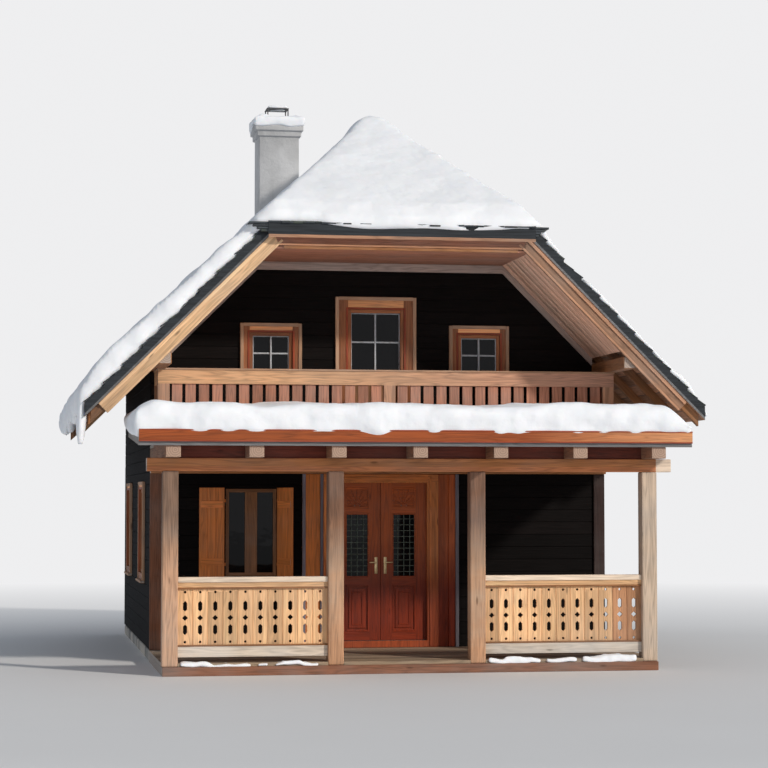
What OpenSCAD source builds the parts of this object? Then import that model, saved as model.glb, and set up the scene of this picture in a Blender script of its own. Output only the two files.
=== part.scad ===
// Alpine chalet in timber: a one and a half storey house under a steep half-hipped shingle roof,
// with a porch across the front gable and a balcony above it.
// The origin lies on the ground, in the plane of the porch posts' front faces, on the gable's axis.
// +Y runs from the porch into the house and +Z up.

/* [House body] */
// Width of the house over its side walls
house_w = 6100; // [5200:50:7400]
// Length of the house over its front and back walls
house_len = 6000; // [5000:50:7600]
// Thickness of the timber walls
wall_t = 160; // [120:10:200]
// Height of the stone plinth
plinth_h = 150; // [110:10:400]
// Thickness of the plinth wall
plinth_t = 300; // [240:10:450]
// Thickness of the ground floor
ground_floor_t = 70; // [50:5:150]
// Height of the ground storey walls above the ground
storey_z = 2600; // [2560:10:3000]
// Thickness of the upper floor
upper_floor_t = 160; // [120:10:240]
// Width of the boards that cover the corners
corner_board_w = 150; // [100:10:200]
// Thickness of the boards that cover the corners
corner_board_t = 30; // [15:5:40]

/* [Main roof] */
// Pitch of the main slopes
roof_pitch = 45; // [38:1:50]
// Height of the rafters' upper edge over the side wall's outer face
knee_z = 4020; // [3900:10:4400]
// Overhang of the eaves past the side walls
eave_over = 900; // [500:10:1200]
// Overhang of the front verge past the front wall
front_over = 1600; // [1200:10:1900]
// Overhang of the back verge past the back wall
back_over = 900; // [400:10:1400]
// Pitch of the half hips
hip_pitch = 33; // [28:1:40]
// Drop of the hips' eaves below the ridge, measured at the verge boards
hip_drop = 1630; // [1200:10:2000]
// Overhang of the hips' eaves past the verge boards
hip_over = 120; // [100:10:350]
// Plumb depth of the rafters
rafter_v = 150; // [120:5:240]
// Width of the rafters
rafter_w = 80; // [60:5:120]
// Number of rafter pairs
rafter_n = 11; // [8:1:14]
// Plumb thickness of the roof boards
board_v = 38; // [20:1:50]
// Plumb thickness of the shingle covering at the head of a course
shingle_lo = 100; // [60:5:160]
// Plumb thickness of the shingle covering at the butt of a course
shingle_hi = 140; // [100:5:220]
// Visible height of one shingle course along the slope
course_len = 340; // [200:10:500]
// Overhang of the covering past the verge boards
verge_lip = 30; // [10:5:60]
// Clearance between coverings where two roof faces meet, under the porch roof and the hips' boards
seam_gap = 0.3; // [0.2:0.1:2]
// Depth of the verge boards, square to their edge
verge_board_d = 165; // [120:5:220]
// Thickness of the verge boards
verge_board_t = 30; // [20:5:40]
// Distance of the verge boards' feet from the covering's eaves
verge_set = 230; // [70:10:300]
// Width of the purlins
purlin_w = 160; // [120:10:200]
// Depth of the purlins
purlin_h = 155; // [120:5:170]
// Depth of the notch with which each rafter sits on a purlin
birdsmouth = 60; // [40:5:60]
// Distance of the middle purlins from the ridge line
mid_purlin_x = 1480; // [1460:10:1700]
// Width of the ridge beam
ridge_w = 50; // [40:5:80]
// Depth of the ridge beam
ridge_h = 220; // [150:10:300]
// Thickness of the soffit boards under the verges
soffit_t = 25; // [18:1:40]
// Depth of the trim where the soffit meets the gable wall
trim_d = 110; // [60:5:150]

/* [Porch] */
// Depth of the porch from the posts' front to the front wall
porch_d = 2450; // [2200:10:2900]
// Side of the square porch posts
post_w = 190; // [140:5:220]
// Distance of the corner posts' centres inside the side walls' outer faces
post_inset = 90; // [80:5:400]
// Centre of the post left of the door
post_left_x = -960; // [-1100:10:-900]
// Centre of the post right of the door
post_right_x = 790; // [740:10:1000]
// Height of the sill beams
sill_h = 110; // [80:5:110]
// Projection of the sill in front of the posts
sill_nose = 40; // [20:5:80]
// Thickness of the porch floor
porch_floor_t = 40; // [25:5:40]
// Height of the beam over the posts
plate_h = 160; // [120:10:160]
// Overhang of that beam past the corner posts
plate_over = 190; // [100:10:300]
// Number of joists over the porch
joist_n = 7; // [5:1:9]
// Width of the joists
joist_w = 180; // [120:10:200]
// Projection of the joists in front of the posts
joist_over = 420; // [250:10:500]
// Depth of the joists at their front ends
joist_tip = 140; // [110:5:160]
// Fall of the porch roof
porch_pitch = 4; // [2:0.5:6]
// Overhang of the porch roof past the side walls
porch_side = 320; // [50:10:450]
// Thickness of the porch roof at the head of a course
porch_lo = 80; // [60:5:120]
// Thickness of the porch roof at the butt of a course
porch_hi = 100; // [80:5:150]
// Height of the fascia board
fascia_h = 135; // [120:5:200]
// Thickness of the fascia board
fascia_t = 30; // [20:5:40]

/* [Railings] */
// Height of the porch railing above the ground
rail_top = 1170; // [1000:10:1300]
// Underside of the porch railing above the ground
rail_foot = 220; // [180:10:300]
// Height of the porch railing's top rail
rail_head_h = 120; // [80:5:140]
// Height of the porch railing's bottom rail
rail_base_h = 130; // [80:5:150]
// Thickness of the porch railing's rails
rail_t = 70; // [50:5:100]
// Thickness of the railing boards
rail_board_t = 30; // [20:2:40]
// Width of one railing board between the sawn joints
rail_board_w = 180; // [140:5:220]
// Height of the balcony railing above the balcony floor
balcony_rail_h = 960; // [850:10:970]
// Depth of the balcony in front of the front wall
balcony_d = 700; // [600:10:900]
// Height of the balcony's handrail board
balcony_head_h = 180; // [120:10:200]
// Width of the balcony slats
slat_w = 130; // [80:5:150]
// Spacing of the balcony slats
slat_pitch = 172; // [150:2:220]

/* [Doors and windows] */
// Clear width of the front doorway
door_w = 1260; // [1000:10:1400]
// Underside of the front door frame's head
door_top = 2336; // [2100:4:2360]
// Height of the threshold's top above the ground
threshold_z = 240; // [230:5:300]
// Width of the door frame's jambs
jamb_w = 140; // [100:10:160]
// Half width of the whole door surround
surround_half = 1050; // [1000:10:1200]
// Thickness of the door leaves
leaf_t = 50; // [40:5:60]
// Width of the leaves' stiles
stile_w = 150; // [100:5:170]
// Running gap round the moving leaves
leaf_gap = 6; // [5:1:10]
// Radius of the hinge pins
pin_r = 5; // [4:0.5:7]
// Clear width of the shuttered window
front_win_w = 670; // [500:10:760]
// Centre of the shuttered window
front_win_x = -1725; // [-1900:5:-1600]
// Sill height of the ground floor windows
win_z = 1100; // [900:10:1200]
// Height of the ground floor windows
win_h = 1140; // [900:10:1200]
// Width of the side and back windows
side_win_w = 800; // [600:10:1000]
// Width of the casing boards round the side and back windows
side_casing_w = 100; // [80:5:150]
// Width of the small upper windows
small_win_w = 570; // [460:10:640]
// Height of the small upper windows
small_win_h = 550; // [430:10:600]
// Head of the small upper windows above the ground
small_win_top = 4300; // [4200:10:4500]
// Distance of the small upper windows from the middle
small_win_x = 1400; // [1200:10:1600]
// Shift of the front gable's openings off the gable's axis
upper_shift = -70; // [-100:10:100]
// Clear width of the balcony door
balcony_door_w = 750; // [600:10:850]
// Head of the balcony door above the ground
balcony_door_top = 4620; // [4500:10:4900]
// Width of the casing boards round the balcony door
door_casing_w = 165; // [90:5:180]
// Width of the casing boards round the small upper windows
casing_w = 120; // [90:5:180]
// Thickness of the casing boards
casing_t = 25; // [15:5:40]
// Width of the window frames' wood
frame_w = 45; // [35:5:70]
// Depth of the window frames
frame_d = 70; // [50:5:100]
// Width of the shuttered window's broad mullion
front_mullion = 160; // [60:10:200]
// Width of the mullions of the side and back windows
side_mullion = 60; // [40:5:100]
// Thickness of the glass
glass_t = 6; // [4:1:12]
// Thickness of the shutters
shutter_t = 30; // [20:2:34]
// Angle by which the right shutter is drawn in from flat open
shutter_ajar = 62; // [0:1:90]

/* [Chimney] */
// Side of the square chimney
chimney_w = 580; // [400:10:700]
// Clearance between the chimney and the middle purlin beside it
chimney_gap = 70; // [20:5:200]
// Front face of the chimney, from the front wall
chimney_y = 2690; // [2000:10:3200]
// Height of the chimney above the ground
chimney_top = 7580; // [7300:10:8200]
// Side of the flue
flue_w = 260; // [180:10:360]
// Projection of the chimney's crown
crown_out = 60; // [30:5:90]
// Height of the cowl over the chimney
cowl_h = 210; // [120:10:300]

/* [Snow] */
// Plumb thickness of the snow along the ridge
snow_ridge = 165; // [80:5:260]
// Plumb thickness of the snow at the left eave
snow_left_v = 270; // [120:5:350]
// Plumb thickness of the snow at the right eave
snow_right_v = 110; // [50:5:250]
// Thickness of the snow on the porch roof
snow_porch_v = 335; // [150:5:450]
// Overhang of the snow past the left eave
snow_curl = 120; // [40:5:200]

/* [Hidden] */

far = 20000;
half_w = house_w / 2;
inner_half = half_w - wall_t;
front_y = porch_d;
back_y = porch_d + house_len;
ground_z = plinth_h + ground_floor_t;
upper_z = storey_z + upper_floor_t;

rise = tan(roof_pitch);
hip_rise = tan(hip_pitch);
mitre = hip_rise / rise;
ridge_z = knee_z + half_w * rise;
eave_half = half_w + eave_over;
tail_half = eave_half - 70;
verge_front = front_y - front_over;
verge_back = back_y + back_over;
cover_front = verge_front - verge_lip;
cover_back = verge_back + verge_lip;
apex_front = verge_front + hip_drop / hip_rise;
apex_back = verge_back - hip_drop / hip_rise;
hip_front = verge_front - hip_over;
hip_back = verge_back + hip_over;
hip_eave_z = ridge_z - hip_drop;
board_gap = 6;
plate_purlin_top = knee_z - rafter_v + birdsmouth;
wall_top = plate_purlin_top - purlin_h;
mid_purlin_top = ridge_z - (mid_purlin_x + purlin_w / 2) * rise - rafter_v + birdsmouth;
ridge_top = ridge_z - ridge_w / 2 * rise;
soffit_z = mid_purlin_top - purlin_h;
gable_top = ridge_z - rafter_v - (apex_front - front_y) * hip_rise;
gable_top_back = ridge_z - rafter_v - (back_y - apex_back) * hip_rise;

porch_floor_z = sill_h + porch_floor_t;
post_half = half_w - post_inset;
post_x = [-post_half, post_left_x, post_right_x, post_half];
plate_z = storey_z - plate_h;
porch_half = half_w + porch_side;
balcony_y = front_y - balcony_d;
balcony_z = upper_z + 40;
balcony_top = balcony_z + balcony_rail_h;
fall = tan(porch_pitch);
joist_front = -joist_over;
fascia_z = storey_z + joist_tip + 50;
bracket_t = 8;
slat_post_w = 150;
slat_rail_z = [60, 180];
slat_foot = 100;
slat_lap = 10;
slat_t = 26;
small_mullion = 20;
balcony_glass_h = 820;
crown_h = 110;
crown_cap = 40;
corbel_h = 80;
cowl_lap = 30;
cowl_leg_r = 9;
cowl_t = 6;
snow_nose = 40;
snow_side = 60;
snow_round = 150;
snow_hip_v = 200;

leaf_foot = threshold_z + leaf_gap;
leaf_head = door_top - leaf_gap;
leaf_w = door_w / 2 - leaf_gap - leaf_gap / 2;
leaf_y = front_y + 20;
knuckle_r = pin_r + 4;
pin_gap = 0.3;
knuckle_h = 40;
hinge_y = leaf_y + leaf_t + knuckle_r + 3;
hinge_x = door_w / 2 - leaf_gap;
hinge_set = 20;
door_hinges = [leaf_foot + 250, (leaf_foot + leaf_head) / 2, leaf_head - 300];
panel_z = [360, 970, 1070, 1920, 1990, leaf_head - 70];
panel_sink = 14;

shutter_y = front_y - shutter_t / 2 - 15;
shutter_axis = [front_win_x - front_win_w / 2 - 8, front_win_x + front_win_w / 2 + 8];
shutter_edge = 12;
shutter_w = (shutter_axis[1] - shutter_axis[0] - 2 * shutter_edge - leaf_gap) / 2;
shutter_z = [win_z - 15, win_z + win_h + 15];
shutter_hinges = [shutter_z[0] + 150, shutter_z[1] - 190];

chimney_x = -mid_purlin_x + purlin_w / 2 + chimney_gap + chimney_w / 2;
chimney_front = front_y + chimney_y;
chimney_back = chimney_front + chimney_w;

// Height of a main slope over the distance u from the ridge line
function main_z(u) = ridge_z - u * rise;

// Height of the joists' sloping upper edge at a depth y
function joist_z(y) = storey_z + joist_tip + (y - joist_front) * fall;

// Upper outline of a stepped covering: n courses down a slope, thin at the head, thick at the butt
function courses(run, n, slope, lo, hi) = [
    for (i = [0:n - 1]) each [
        [run * i / n, lo - run * i / n * slope],
        [run * (i + 1) / n, hi - run * (i + 1) / n * slope]]];

// Points of an arc about a centre
function arc(centre, r, a0, a1, n) =
    [for (i = [0:n]) centre + r * [cos(a0 + (a1 - a0) * i / n), sin(a0 + (a1 - a0) * i / n)]];

function reversed(list) = [for (i = [len(list) - 1:-1:0]) list[i]];
function raised(list, z) = [for (p = list) p + [0, z]];

main_n = ceil(eave_half / cos(roof_pitch) / course_len);
main_courses = raised(courses(eave_half, main_n, rise, shingle_lo, shingle_hi), ridge_z + board_v);
hip_run = apex_front - hip_front;
hip_n = ceil(hip_run / cos(hip_pitch) / course_len);
hip_courses = raised(courses(hip_run, hip_n, hip_rise, shingle_lo, shingle_hi), ridge_z + board_v);
porch_run = balcony_y - joist_front + fascia_t;
porch_courses = [for (p = courses(porch_run, 6, fall, porch_lo, porch_hi))
    [balcony_y - p[0], p[1] + joist_z(balcony_y)]];

module box(x0, x1, y0, y1, z0, z1) translate([x0, y0, z0]) cube([x1 - x0, y1 - y0, z1 - z0]);

// Draws an outline of x and z points from depth y0 to y1
module along_y(y0, y1) translate([0, y1, 0]) rotate([90, 0, 0]) linear_extrude(y1 - y0) children();

// Draws an outline of y and z points from x0 to x1
module along_x(x0, x1) translate([x0, 0, 0]) rotate([90, 0, 90]) linear_extrude(x1 - x0) children();

// side is -1 for the left half and 1 for the right half
module on_side(side) mirror([side < 0 ? 1 : 0, 0, 0]) children();

// Turns a front piece round to the back of the house
module to_back() translate([0, verge_front + verge_back, 0]) mirror([0, 1, 0]) children();

// Upright prism over the plan of the right main slope, less a gap along its upper edges
module main_plan(gap = 0) linear_extrude(far) polygon([
    [gap, apex_front], [gap + (apex_front - cover_front) * mitre, cover_front],
    [far, cover_front], [far, cover_back],
    [gap + (cover_back - apex_back) * mitre, cover_back], [gap, apex_back]]);

// Upright prism over the plan of the front hip, less a gap along its upper edges
module hip_plan(gap = 0, foot = hip_front) linear_extrude(far) polygon([
    [0, apex_front - gap], [(apex_front - gap - foot) * mitre, foot],
    [-(apex_front - gap - foot) * mitre, foot]]);

// A layer of the right main slope between two outlines
module main_layer(outline, gap = 0) intersection() {
    along_y(cover_front, cover_back) polygon(outline);
    main_plan(gap);
}

// A layer of the front hip between two outlines that run forward from the ridge's end
module hip_layer(outline, gap = 0, half = far) intersection() {
    along_x(-half, half) polygon([for (p = outline) [apex_front - p[0], p[1]]]);
    hip_plan(gap);
}

// The space that the chimney takes, with room round it
module chimney_space(room = 0) box(chimney_x - chimney_w / 2 - room, chimney_x + chimney_w / 2 + room,
    chimney_front - room, chimney_back + room, -1, far);

module plinth() color("lightslategray") difference() {
    box(-half_w + 20, half_w - 20, front_y + 20, back_y - 20, 0, plinth_h);
    box(-half_w + plinth_t, half_w - plinth_t, front_y + plinth_t, back_y - plinth_t, -1, far);
}

module ground_floor() color("burlywood") difference() {
    box(-inner_half, inner_half, front_y + wall_t, back_y - wall_t, plinth_h, ground_z);
    chimney_space();
}

module upper_floor() color("burlywood") difference() {
    box(-inner_half, inner_half, front_y + wall_t, back_y - wall_t, storey_z, upper_z);
    chimney_space();
}

module corner_boards() color("saddlebrown")
    for (side = [-1, 1]) on_side(side) {
        box(half_w - corner_board_w, half_w, front_y - corner_board_t, front_y,
            plinth_h, storey_z - plate_h);
        box(half_w - corner_board_w, half_w, back_y, back_y + corner_board_t, plinth_h, storey_z);
    }

// A window's hole through a wall that faces along Y, with its outer face at depth y
module hole_y(x, y, z, w, h) box(x - w / 2, x + w / 2, y - far / 20, y + far / 20, z, z + h);

module front_wall_left() color("#2b1a10") difference() {
    box(-inner_half, -surround_half, front_y, front_y + wall_t, plinth_h, storey_z);
    hole_y(front_win_x, front_y, win_z, front_win_w, win_h);
}

module front_wall_right() color("#2b1a10")
    box(surround_half, inner_half, front_y, front_y + wall_t, plinth_h, storey_z);

module front_wall_over_door() color("#2b1a10")
    box(-surround_half, surround_half, front_y, front_y + wall_t, door_top + 100, storey_z);

side_windows_y = [front_y + house_len / 4, back_y - house_len / 4];

module side_wall() difference() {
    box(inner_half, half_w, front_y, back_y, plinth_h, wall_top);
    for (y = side_windows_y)
        box(inner_half - 1, half_w + 1, y - side_win_w / 2, y + side_win_w / 2, win_z, win_z + win_h);
}

module left_wall() color("#2b1a10") on_side(-1) side_wall();
module right_wall() color("#2b1a10") on_side(1) side_wall();

module back_wall() color("#2b1a10") difference() {
    box(-inner_half, inner_half, back_y - wall_t, back_y, plinth_h, storey_z);
    for (side = [-1, 1]) hole_y(side * small_win_x, back_y, win_z, side_win_w, win_h);
}

// Gable wall between the side walls, cut off flat under the hip
module gable_wall(y0, top, shift = 0) difference() {
    along_y(y0, y0 + wall_t) polygon([
        [-inner_half, storey_z], [inner_half, storey_z],
        [inner_half, main_z(inner_half) - rafter_v],
        [(ridge_z - rafter_v - top) / rise, top], [-(ridge_z - rafter_v - top) / rise, top],
        [-inner_half, main_z(inner_half) - rafter_v]]);
    purlins();
    for (side = [-1, 1])
        hole_y(shift + side * small_win_x, y0, small_win_top - small_win_h, small_win_w, small_win_h);
}

module gable_front() color("#241610") difference() {
    gable_wall(front_y, gable_top, upper_shift);
    hole_y(upper_shift, front_y, balcony_z, balcony_door_w, balcony_door_top - balcony_z);
}

module gable_back() color("#241610") gable_wall(back_y - wall_t, gable_top_back);

module porch_sills() color("#7d6a50") {
    box(-post_half - post_w / 2, post_half + post_w / 2, -sill_nose, post_w, 0, sill_h);
    for (x = [-post_half, post_left_x, post_right_x, post_half])
        box(x - post_w / 2, x + post_w / 2, post_w, front_y + 20, 0, sill_h);
}

module porch_floor() color("#9a7f5c") union() {
    box(-post_half - post_w / 2, post_half + post_w / 2, post_w, front_y, sill_h, porch_floor_z);
    for (i = [0:2])
        box(post_x[i] + post_w / 2, post_x[i + 1] - post_w / 2, 0, post_w + 1, sill_h, porch_floor_z);
}

module porch_posts() color("#a38a68")
    for (x = post_x) box(x - post_w / 2, x + post_w / 2, 0, post_w, sill_h, plate_z);

module porch_beams() color("#8d5a2e") {
    box(-post_half - post_w / 2 - plate_over, post_half + post_w / 2 + plate_over,
        post_w * 0.1, post_w * 0.9, plate_z, storey_z);
    box(-half_w, half_w, front_y - 120, front_y, plate_z, storey_z);
}

module porch_joists() color("#80603c")
    for (i = [0:joist_n - 1])
        along_x(-post_half + 2 * post_half * i / (joist_n - 1) - joist_w / 2,
                -post_half + 2 * post_half * i / (joist_n - 1) + joist_w / 2)
            polygon([[joist_front, storey_z], [front_y, storey_z], [front_y, upper_z],
                [balcony_y, upper_z], [balcony_y, joist_z(balcony_y)],
                [joist_front, joist_z(joist_front)]]);

// Sawn openings down the middle of one railing board, from the bottom rail to the top rail
module fret_column(h) {
    for (z = [0.07, 0.92]) translate([0, h * z]) circle(d = h * 0.045, $fn = 12);
    for (z = [0.28, 0.68]) translate([0, h * z]) polygon([
        [0, -h * 0.09], [h * 0.035, -h * 0.055], [h * 0.035, h * 0.055],
        [0, h * 0.09], [-h * 0.035, h * 0.055], [-h * 0.035, -h * 0.055]]);
    translate([0, h * 0.48]) rotate(45) square(h * 0.07, center = true);
}

// One bay of the porch railing between two posts
module railing_bay(x0, x1) {
    w = x1 - x0;
    h = rail_top - rail_head_h - rail_foot - rail_base_h;
    n = round(w / rail_board_w);
    y0 = (post_w - rail_t) / 2;
    box(x0, x1, y0, y0 + rail_t, rail_foot, rail_foot + rail_base_h);
    box(x0, x1, y0, y0 + rail_t, rail_top - rail_head_h, rail_top);
    translate([x0, 0, rail_foot + rail_base_h])
        along_y((post_w - rail_board_t) / 2, (post_w + rail_board_t) / 2) difference() {
            square([w, h]);
            for (i = [1:n]) translate([w * (i - 0.5) / n, 0]) fret_column(h);
        }
}

module porch_railing() color("#d0a468") {
    railing_bay(post_x[0] + post_w / 2, post_x[1] - post_w / 2);
    railing_bay(post_x[2] + post_w / 2, post_x[3] - post_w / 2);
}

module porch_roof() color("#4d5047") along_x(-porch_half, porch_half) polygon(concat(
    porch_courses, raised([[joist_front - fascia_t, joist_z(joist_front - fascia_t)],
    [balcony_y, joist_z(balcony_y)]], seam_gap)));

module porch_fascia() color("#b8642a") box(-porch_half, porch_half,
    joist_front - 2 * fascia_t, joist_front - fascia_t, fascia_z, fascia_z + fascia_h);

module balcony_floor() color("#8d6e4b")
    box(-half_w, half_w, balcony_y, front_y, upper_z, balcony_z);

// Slatted panel along X from 0 to w, with posts at both ends and n fields
module slat_panel(w, fields) {
    post = slat_post_w;
    h = balcony_rail_h;
    field = (w - post * (fields + 1)) / fields;
    slats = floor((field + slat_pitch - slat_w) / slat_pitch);
    edge = (field - slats * slat_pitch + slat_pitch - slat_w) / 2;
    box(0, w, 0, 70, h - balcony_head_h, h);
    box(0, w, 10, 60, slat_rail_z[0], slat_rail_z[1]);
    for (f = [0:fields]) translate([f * (field + post), 0, 0]) cube([post, 80, h]);
    for (f = [0:fields - 1], i = [0:slats - 1])
        translate([post + f * (field + post) + edge + i * slat_pitch, 22, slat_foot])
            cube([slat_w, slat_t, h - balcony_head_h + slat_lap - slat_foot]);
}

module balcony_railing() color("#b07c4e") {
    translate([-half_w + 50, balcony_y + 5, balcony_z]) slat_panel(house_w - 100, 2);
    for (side = [-1, 1]) on_side(side)
        translate([half_w - 50, balcony_y + 86, balcony_z])
            rotate([0, 0, 90]) slat_panel(balcony_d - 86, 1);
}

module purlins() color("#6b4a2c") {
    for (side = [-1, 1]) on_side(side) {
        box(half_w - purlin_w, half_w, verge_front + verge_board_t, verge_back - verge_board_t,
            plate_purlin_top - purlin_h, plate_purlin_top);
        box(mid_purlin_x - purlin_w / 2, mid_purlin_x + purlin_w / 2,
            verge_front + verge_board_t, verge_back - verge_board_t,
            mid_purlin_top - purlin_h, mid_purlin_top);
    }
    box(-ridge_w / 2, ridge_w / 2, apex_front, apex_back, ridge_top - ridge_h, ridge_top);
}

rafter_step = (verge_back - verge_front - 2 * verge_board_t - rafter_w) / (rafter_n - 1);
hip_rafter_n = 5;
hip_rafter_step = 620;

module rafters() color("#8a6a45") difference() {
    union() {
        for (side = [-1, 1]) on_side(side) intersection() {
            for (i = [0:rafter_n - 1])
                along_y(verge_front + verge_board_t + i * rafter_step,
                        verge_front + verge_board_t + i * rafter_step + rafter_w)
                    polygon([[ridge_w / 2, main_z(ridge_w / 2)], [tail_half, main_z(tail_half)],
                        [tail_half, main_z(tail_half) - rafter_v],
                        [ridge_w / 2, main_z(ridge_w / 2) - rafter_v]]);
            main_plan(10);
        }
        hip_rafters();
        to_back() hip_rafters();
    }
    purlins();
    chimney_space(30);
}

// The short rafters of a hip, with the plate across the middle purlins that carries them
module hip_rafters() intersection() {
    union() {
        box(-mid_purlin_x + purlin_w / 2, mid_purlin_x - purlin_w / 2,
            verge_front + verge_board_t, verge_front + verge_board_t + purlin_w,
            soffit_z, mid_purlin_top);
        for (i = [0:hip_rafter_n - 1]) let (x = (i - (hip_rafter_n - 1) / 2) * hip_rafter_step)
            along_x(x - rafter_w / 2, x + rafter_w / 2) polygon([
                [apex_front, ridge_z - seam_gap], [verge_front, hip_eave_z - seam_gap],
                [verge_front, hip_eave_z - rafter_v], [apex_front, ridge_z - rafter_v]]);
    }
    hip_plan(120);
    box(-far, far, verge_front + verge_board_t, far, 0, far);
}

module roof_boards() color("#a5672f") {
    for (side = [-1, 1]) difference() {
        on_side(side) main_layer([[0, ridge_z], [eave_half, main_z(eave_half)],
            [eave_half, main_z(eave_half) + board_v], [0, ridge_z + board_v]], board_gap);
        chimney_space(30);
    }
    hip_board();
    to_back() hip_board();
}

module hip_board() hip_layer([[0, ridge_z], [hip_run, ridge_z - hip_run * hip_rise],
    [hip_run, ridge_z - hip_run * hip_rise + board_v], [0, ridge_z + board_v]], board_gap);

module main_shingles() main_layer(concat(main_courses,
    [[eave_half, main_z(eave_half) + board_v], [0, ridge_z + board_v]]), seam_gap);

module shingles_left() color("#454a42") difference() {
    on_side(-1) main_shingles();
    chimney_space();
}

module shingles_right() color("#454a42") on_side(1) main_shingles();

module hip_cover() hip_layer(concat(hip_courses,
    [[hip_run, ridge_z - hip_run * hip_rise + board_v], [0, ridge_z + board_v]]), seam_gap);

module hip_shingles() color("#454a42") {
    hip_cover();
    to_back() hip_cover();
}

// Verge boards up both slopes and across the hip's eave, mitred into one frame
module verge_frame() {
    e = eave_half - verge_set;
    e_in = e - verge_board_d * sin(roof_pitch);
    e_low = main_z(e) - verge_board_d * cos(roof_pitch);
    drop = verge_board_d / cos(roof_pitch);
    foot = hip_eave_z - verge_board_d;
    along_y(verge_front, verge_front + verge_board_t) polygon([
        [-e, main_z(e)], [-hip_drop / rise, hip_eave_z], [hip_drop / rise, hip_eave_z],
        [e, main_z(e)], [e_in, e_low], [(ridge_z - drop - foot) / rise, foot],
        [-(ridge_z - drop - foot) / rise, foot], [-e_in, e_low]]);
}

module verge_boards() color("#c98f4e") {
    verge_frame();
    to_back() verge_frame();
}

// Frame under both slopes of an overhang and level below the hip, of a plumb depth
module under_verge(y0, y1, top, depth) {
    flat = (ridge_z - rafter_v - soffit_z) / rise;
    foot = half_w - purlin_w;
    rim = [[-foot, main_z(foot) - rafter_v], [-flat, soffit_z],
        [flat, soffit_z], [foot, main_z(foot) - rafter_v]];
    along_y(y0, y1) polygon(concat(raised(rim, -top), reversed(raised(rim, -top - depth))));
}

module verge_soffits() color("#8a4b2c") {
    under_verge(verge_front + verge_board_t, front_y, 0, soffit_t);
    under_verge(back_y, verge_back - verge_board_t, 0, soffit_t);
}

module gable_trims() color("#8d8478") {
    under_verge(front_y - casing_t, front_y, soffit_t, trim_d);
    under_verge(back_y, back_y + casing_t, soffit_t, trim_d);
}

// Square step of the chimney's crown, below its upper edge
module crown_step(half, h)
    translate([-half, -half, chimney_top - crown_cap - h]) cube([2 * half, 2 * half, h]);

module chimney() color("gainsboro") translate([chimney_x, chimney_front + chimney_w / 2, 0])
    difference() {
        w = chimney_w;
        union() {
            translate([-w / 2, -w / 2, 0]) cube([w, w, chimney_top]);
            crown_step(w / 2 + crown_out, crown_h);
            crown_step(w / 2 + crown_out / 2, crown_h + corbel_h);
        }
        translate([-flue_w / 2, -flue_w / 2, chimney_top - 2500]) cube([flue_w, flue_w, far]);
    }

module chimney_cowl() color("silver") translate([chimney_x, chimney_front + chimney_w / 2, chimney_top]) {
    half = flue_w / 2 + cowl_lap;
    leg = half - 12;
    for (x = [-leg, leg], y = [-leg, leg])
        translate([x, y, 0]) cylinder(r = cowl_leg_r, h = cowl_h - cowl_t, $fn = 16);
    translate([-half, -half, cowl_h - cowl_t]) cube([2 * half, 2 * half, cowl_t]);
}

module door_frame() color("#6b2f17") difference() {
    union() {
        box(-surround_half, surround_half, front_y, front_y + wall_t, plinth_h, door_top + 100);
        box(-door_w / 2 - jamb_w, door_w / 2 + jamb_w, front_y - 40, front_y + 1, plinth_h, door_top + 100);
    }
    box(-door_w / 2, door_w / 2, leaf_y - 5, front_y + far / 20, threshold_z, door_top);
    box(-door_w / 2 + 15, door_w / 2 - 15, front_y - far / 20, leaf_y + 1, threshold_z, door_top - 15);
    box(-door_w / 2 - hinge_set, door_w / 2 + hinge_set, leaf_y + leaf_t, front_y + far / 20,
        ground_z, door_top);
}

// Right door leaf: a frame of stiles and rails with two sunk panels and one pane
module door_leaf() {
    x0 = leaf_gap / 2;
    x1 = x0 + leaf_w;
    difference() {
        box(x0, x1, leaf_y, leaf_y + leaf_t, leaf_foot, leaf_head);
        box(x0 + stile_w, x1 - stile_w, leaf_y - 1, leaf_y + leaf_t + 1, panel_z[2], panel_z[3]);
        for (z = [[panel_z[0], panel_z[1]], [panel_z[4], panel_z[5]]], y = [leaf_y - 1, leaf_y + leaf_t - panel_sink])
            box(x0 + stile_w, x1 - stile_w, y, y + panel_sink + 1, z[0], z[1]);
    }
    for (z = door_hinges) difference() {
        union() {
            translate([hinge_x, hinge_y, z]) cylinder(r = knuckle_r, h = knuckle_h, $fn = 32);
            box(hinge_x - 40, hinge_x, leaf_y + leaf_t - 1, hinge_y - 3, z, z + knuckle_h);
        }
        translate([hinge_x, hinge_y, z - 1]) cylinder(r = pin_r + pin_gap, h = knuckle_h + 2, $fn = 32);
    }
}

module door_leaf_left() color("#74331a") on_side(-1) door_leaf();
module door_leaf_right() color("#74331a") on_side(1) door_leaf();

module door_pane() box(leaf_gap / 2 + stile_w, leaf_gap / 2 + leaf_w - stile_w,
    leaf_y + (leaf_t - glass_t) / 2, leaf_y + (leaf_t + glass_t) / 2, panel_z[2], panel_z[3]);

module door_glass_left() color("lightblue", 0.4) on_side(-1) door_pane();
module door_glass_right() color("lightblue", 0.4) on_side(1) door_pane();

module balcony_door() color("#a4602c") translate([upper_shift, 0, 0]) {
    w = balcony_door_w / 2;
    y0 = front_y + 20;
    glass = balcony_door_top - balcony_glass_h;
    difference() {
        union() {
            box(-w, w, y0, y0 + frame_d, balcony_z, balcony_door_top);
            box(-w - door_casing_w, w + door_casing_w, front_y - casing_t, front_y,
                balcony_z, balcony_door_top + door_casing_w);
            box(-w, w, front_y - casing_t, y0 + 1, balcony_z, balcony_door_top);
        }
        box(-w + frame_w, w - frame_w, front_y - casing_t - 1, y0 + frame_d + 1,
            glass, balcony_door_top - frame_w);
        box(-w + frame_w, w - frame_w, front_y - casing_t - 1, y0 + 25, balcony_z + frame_w, glass - 60);
    }
}

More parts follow.
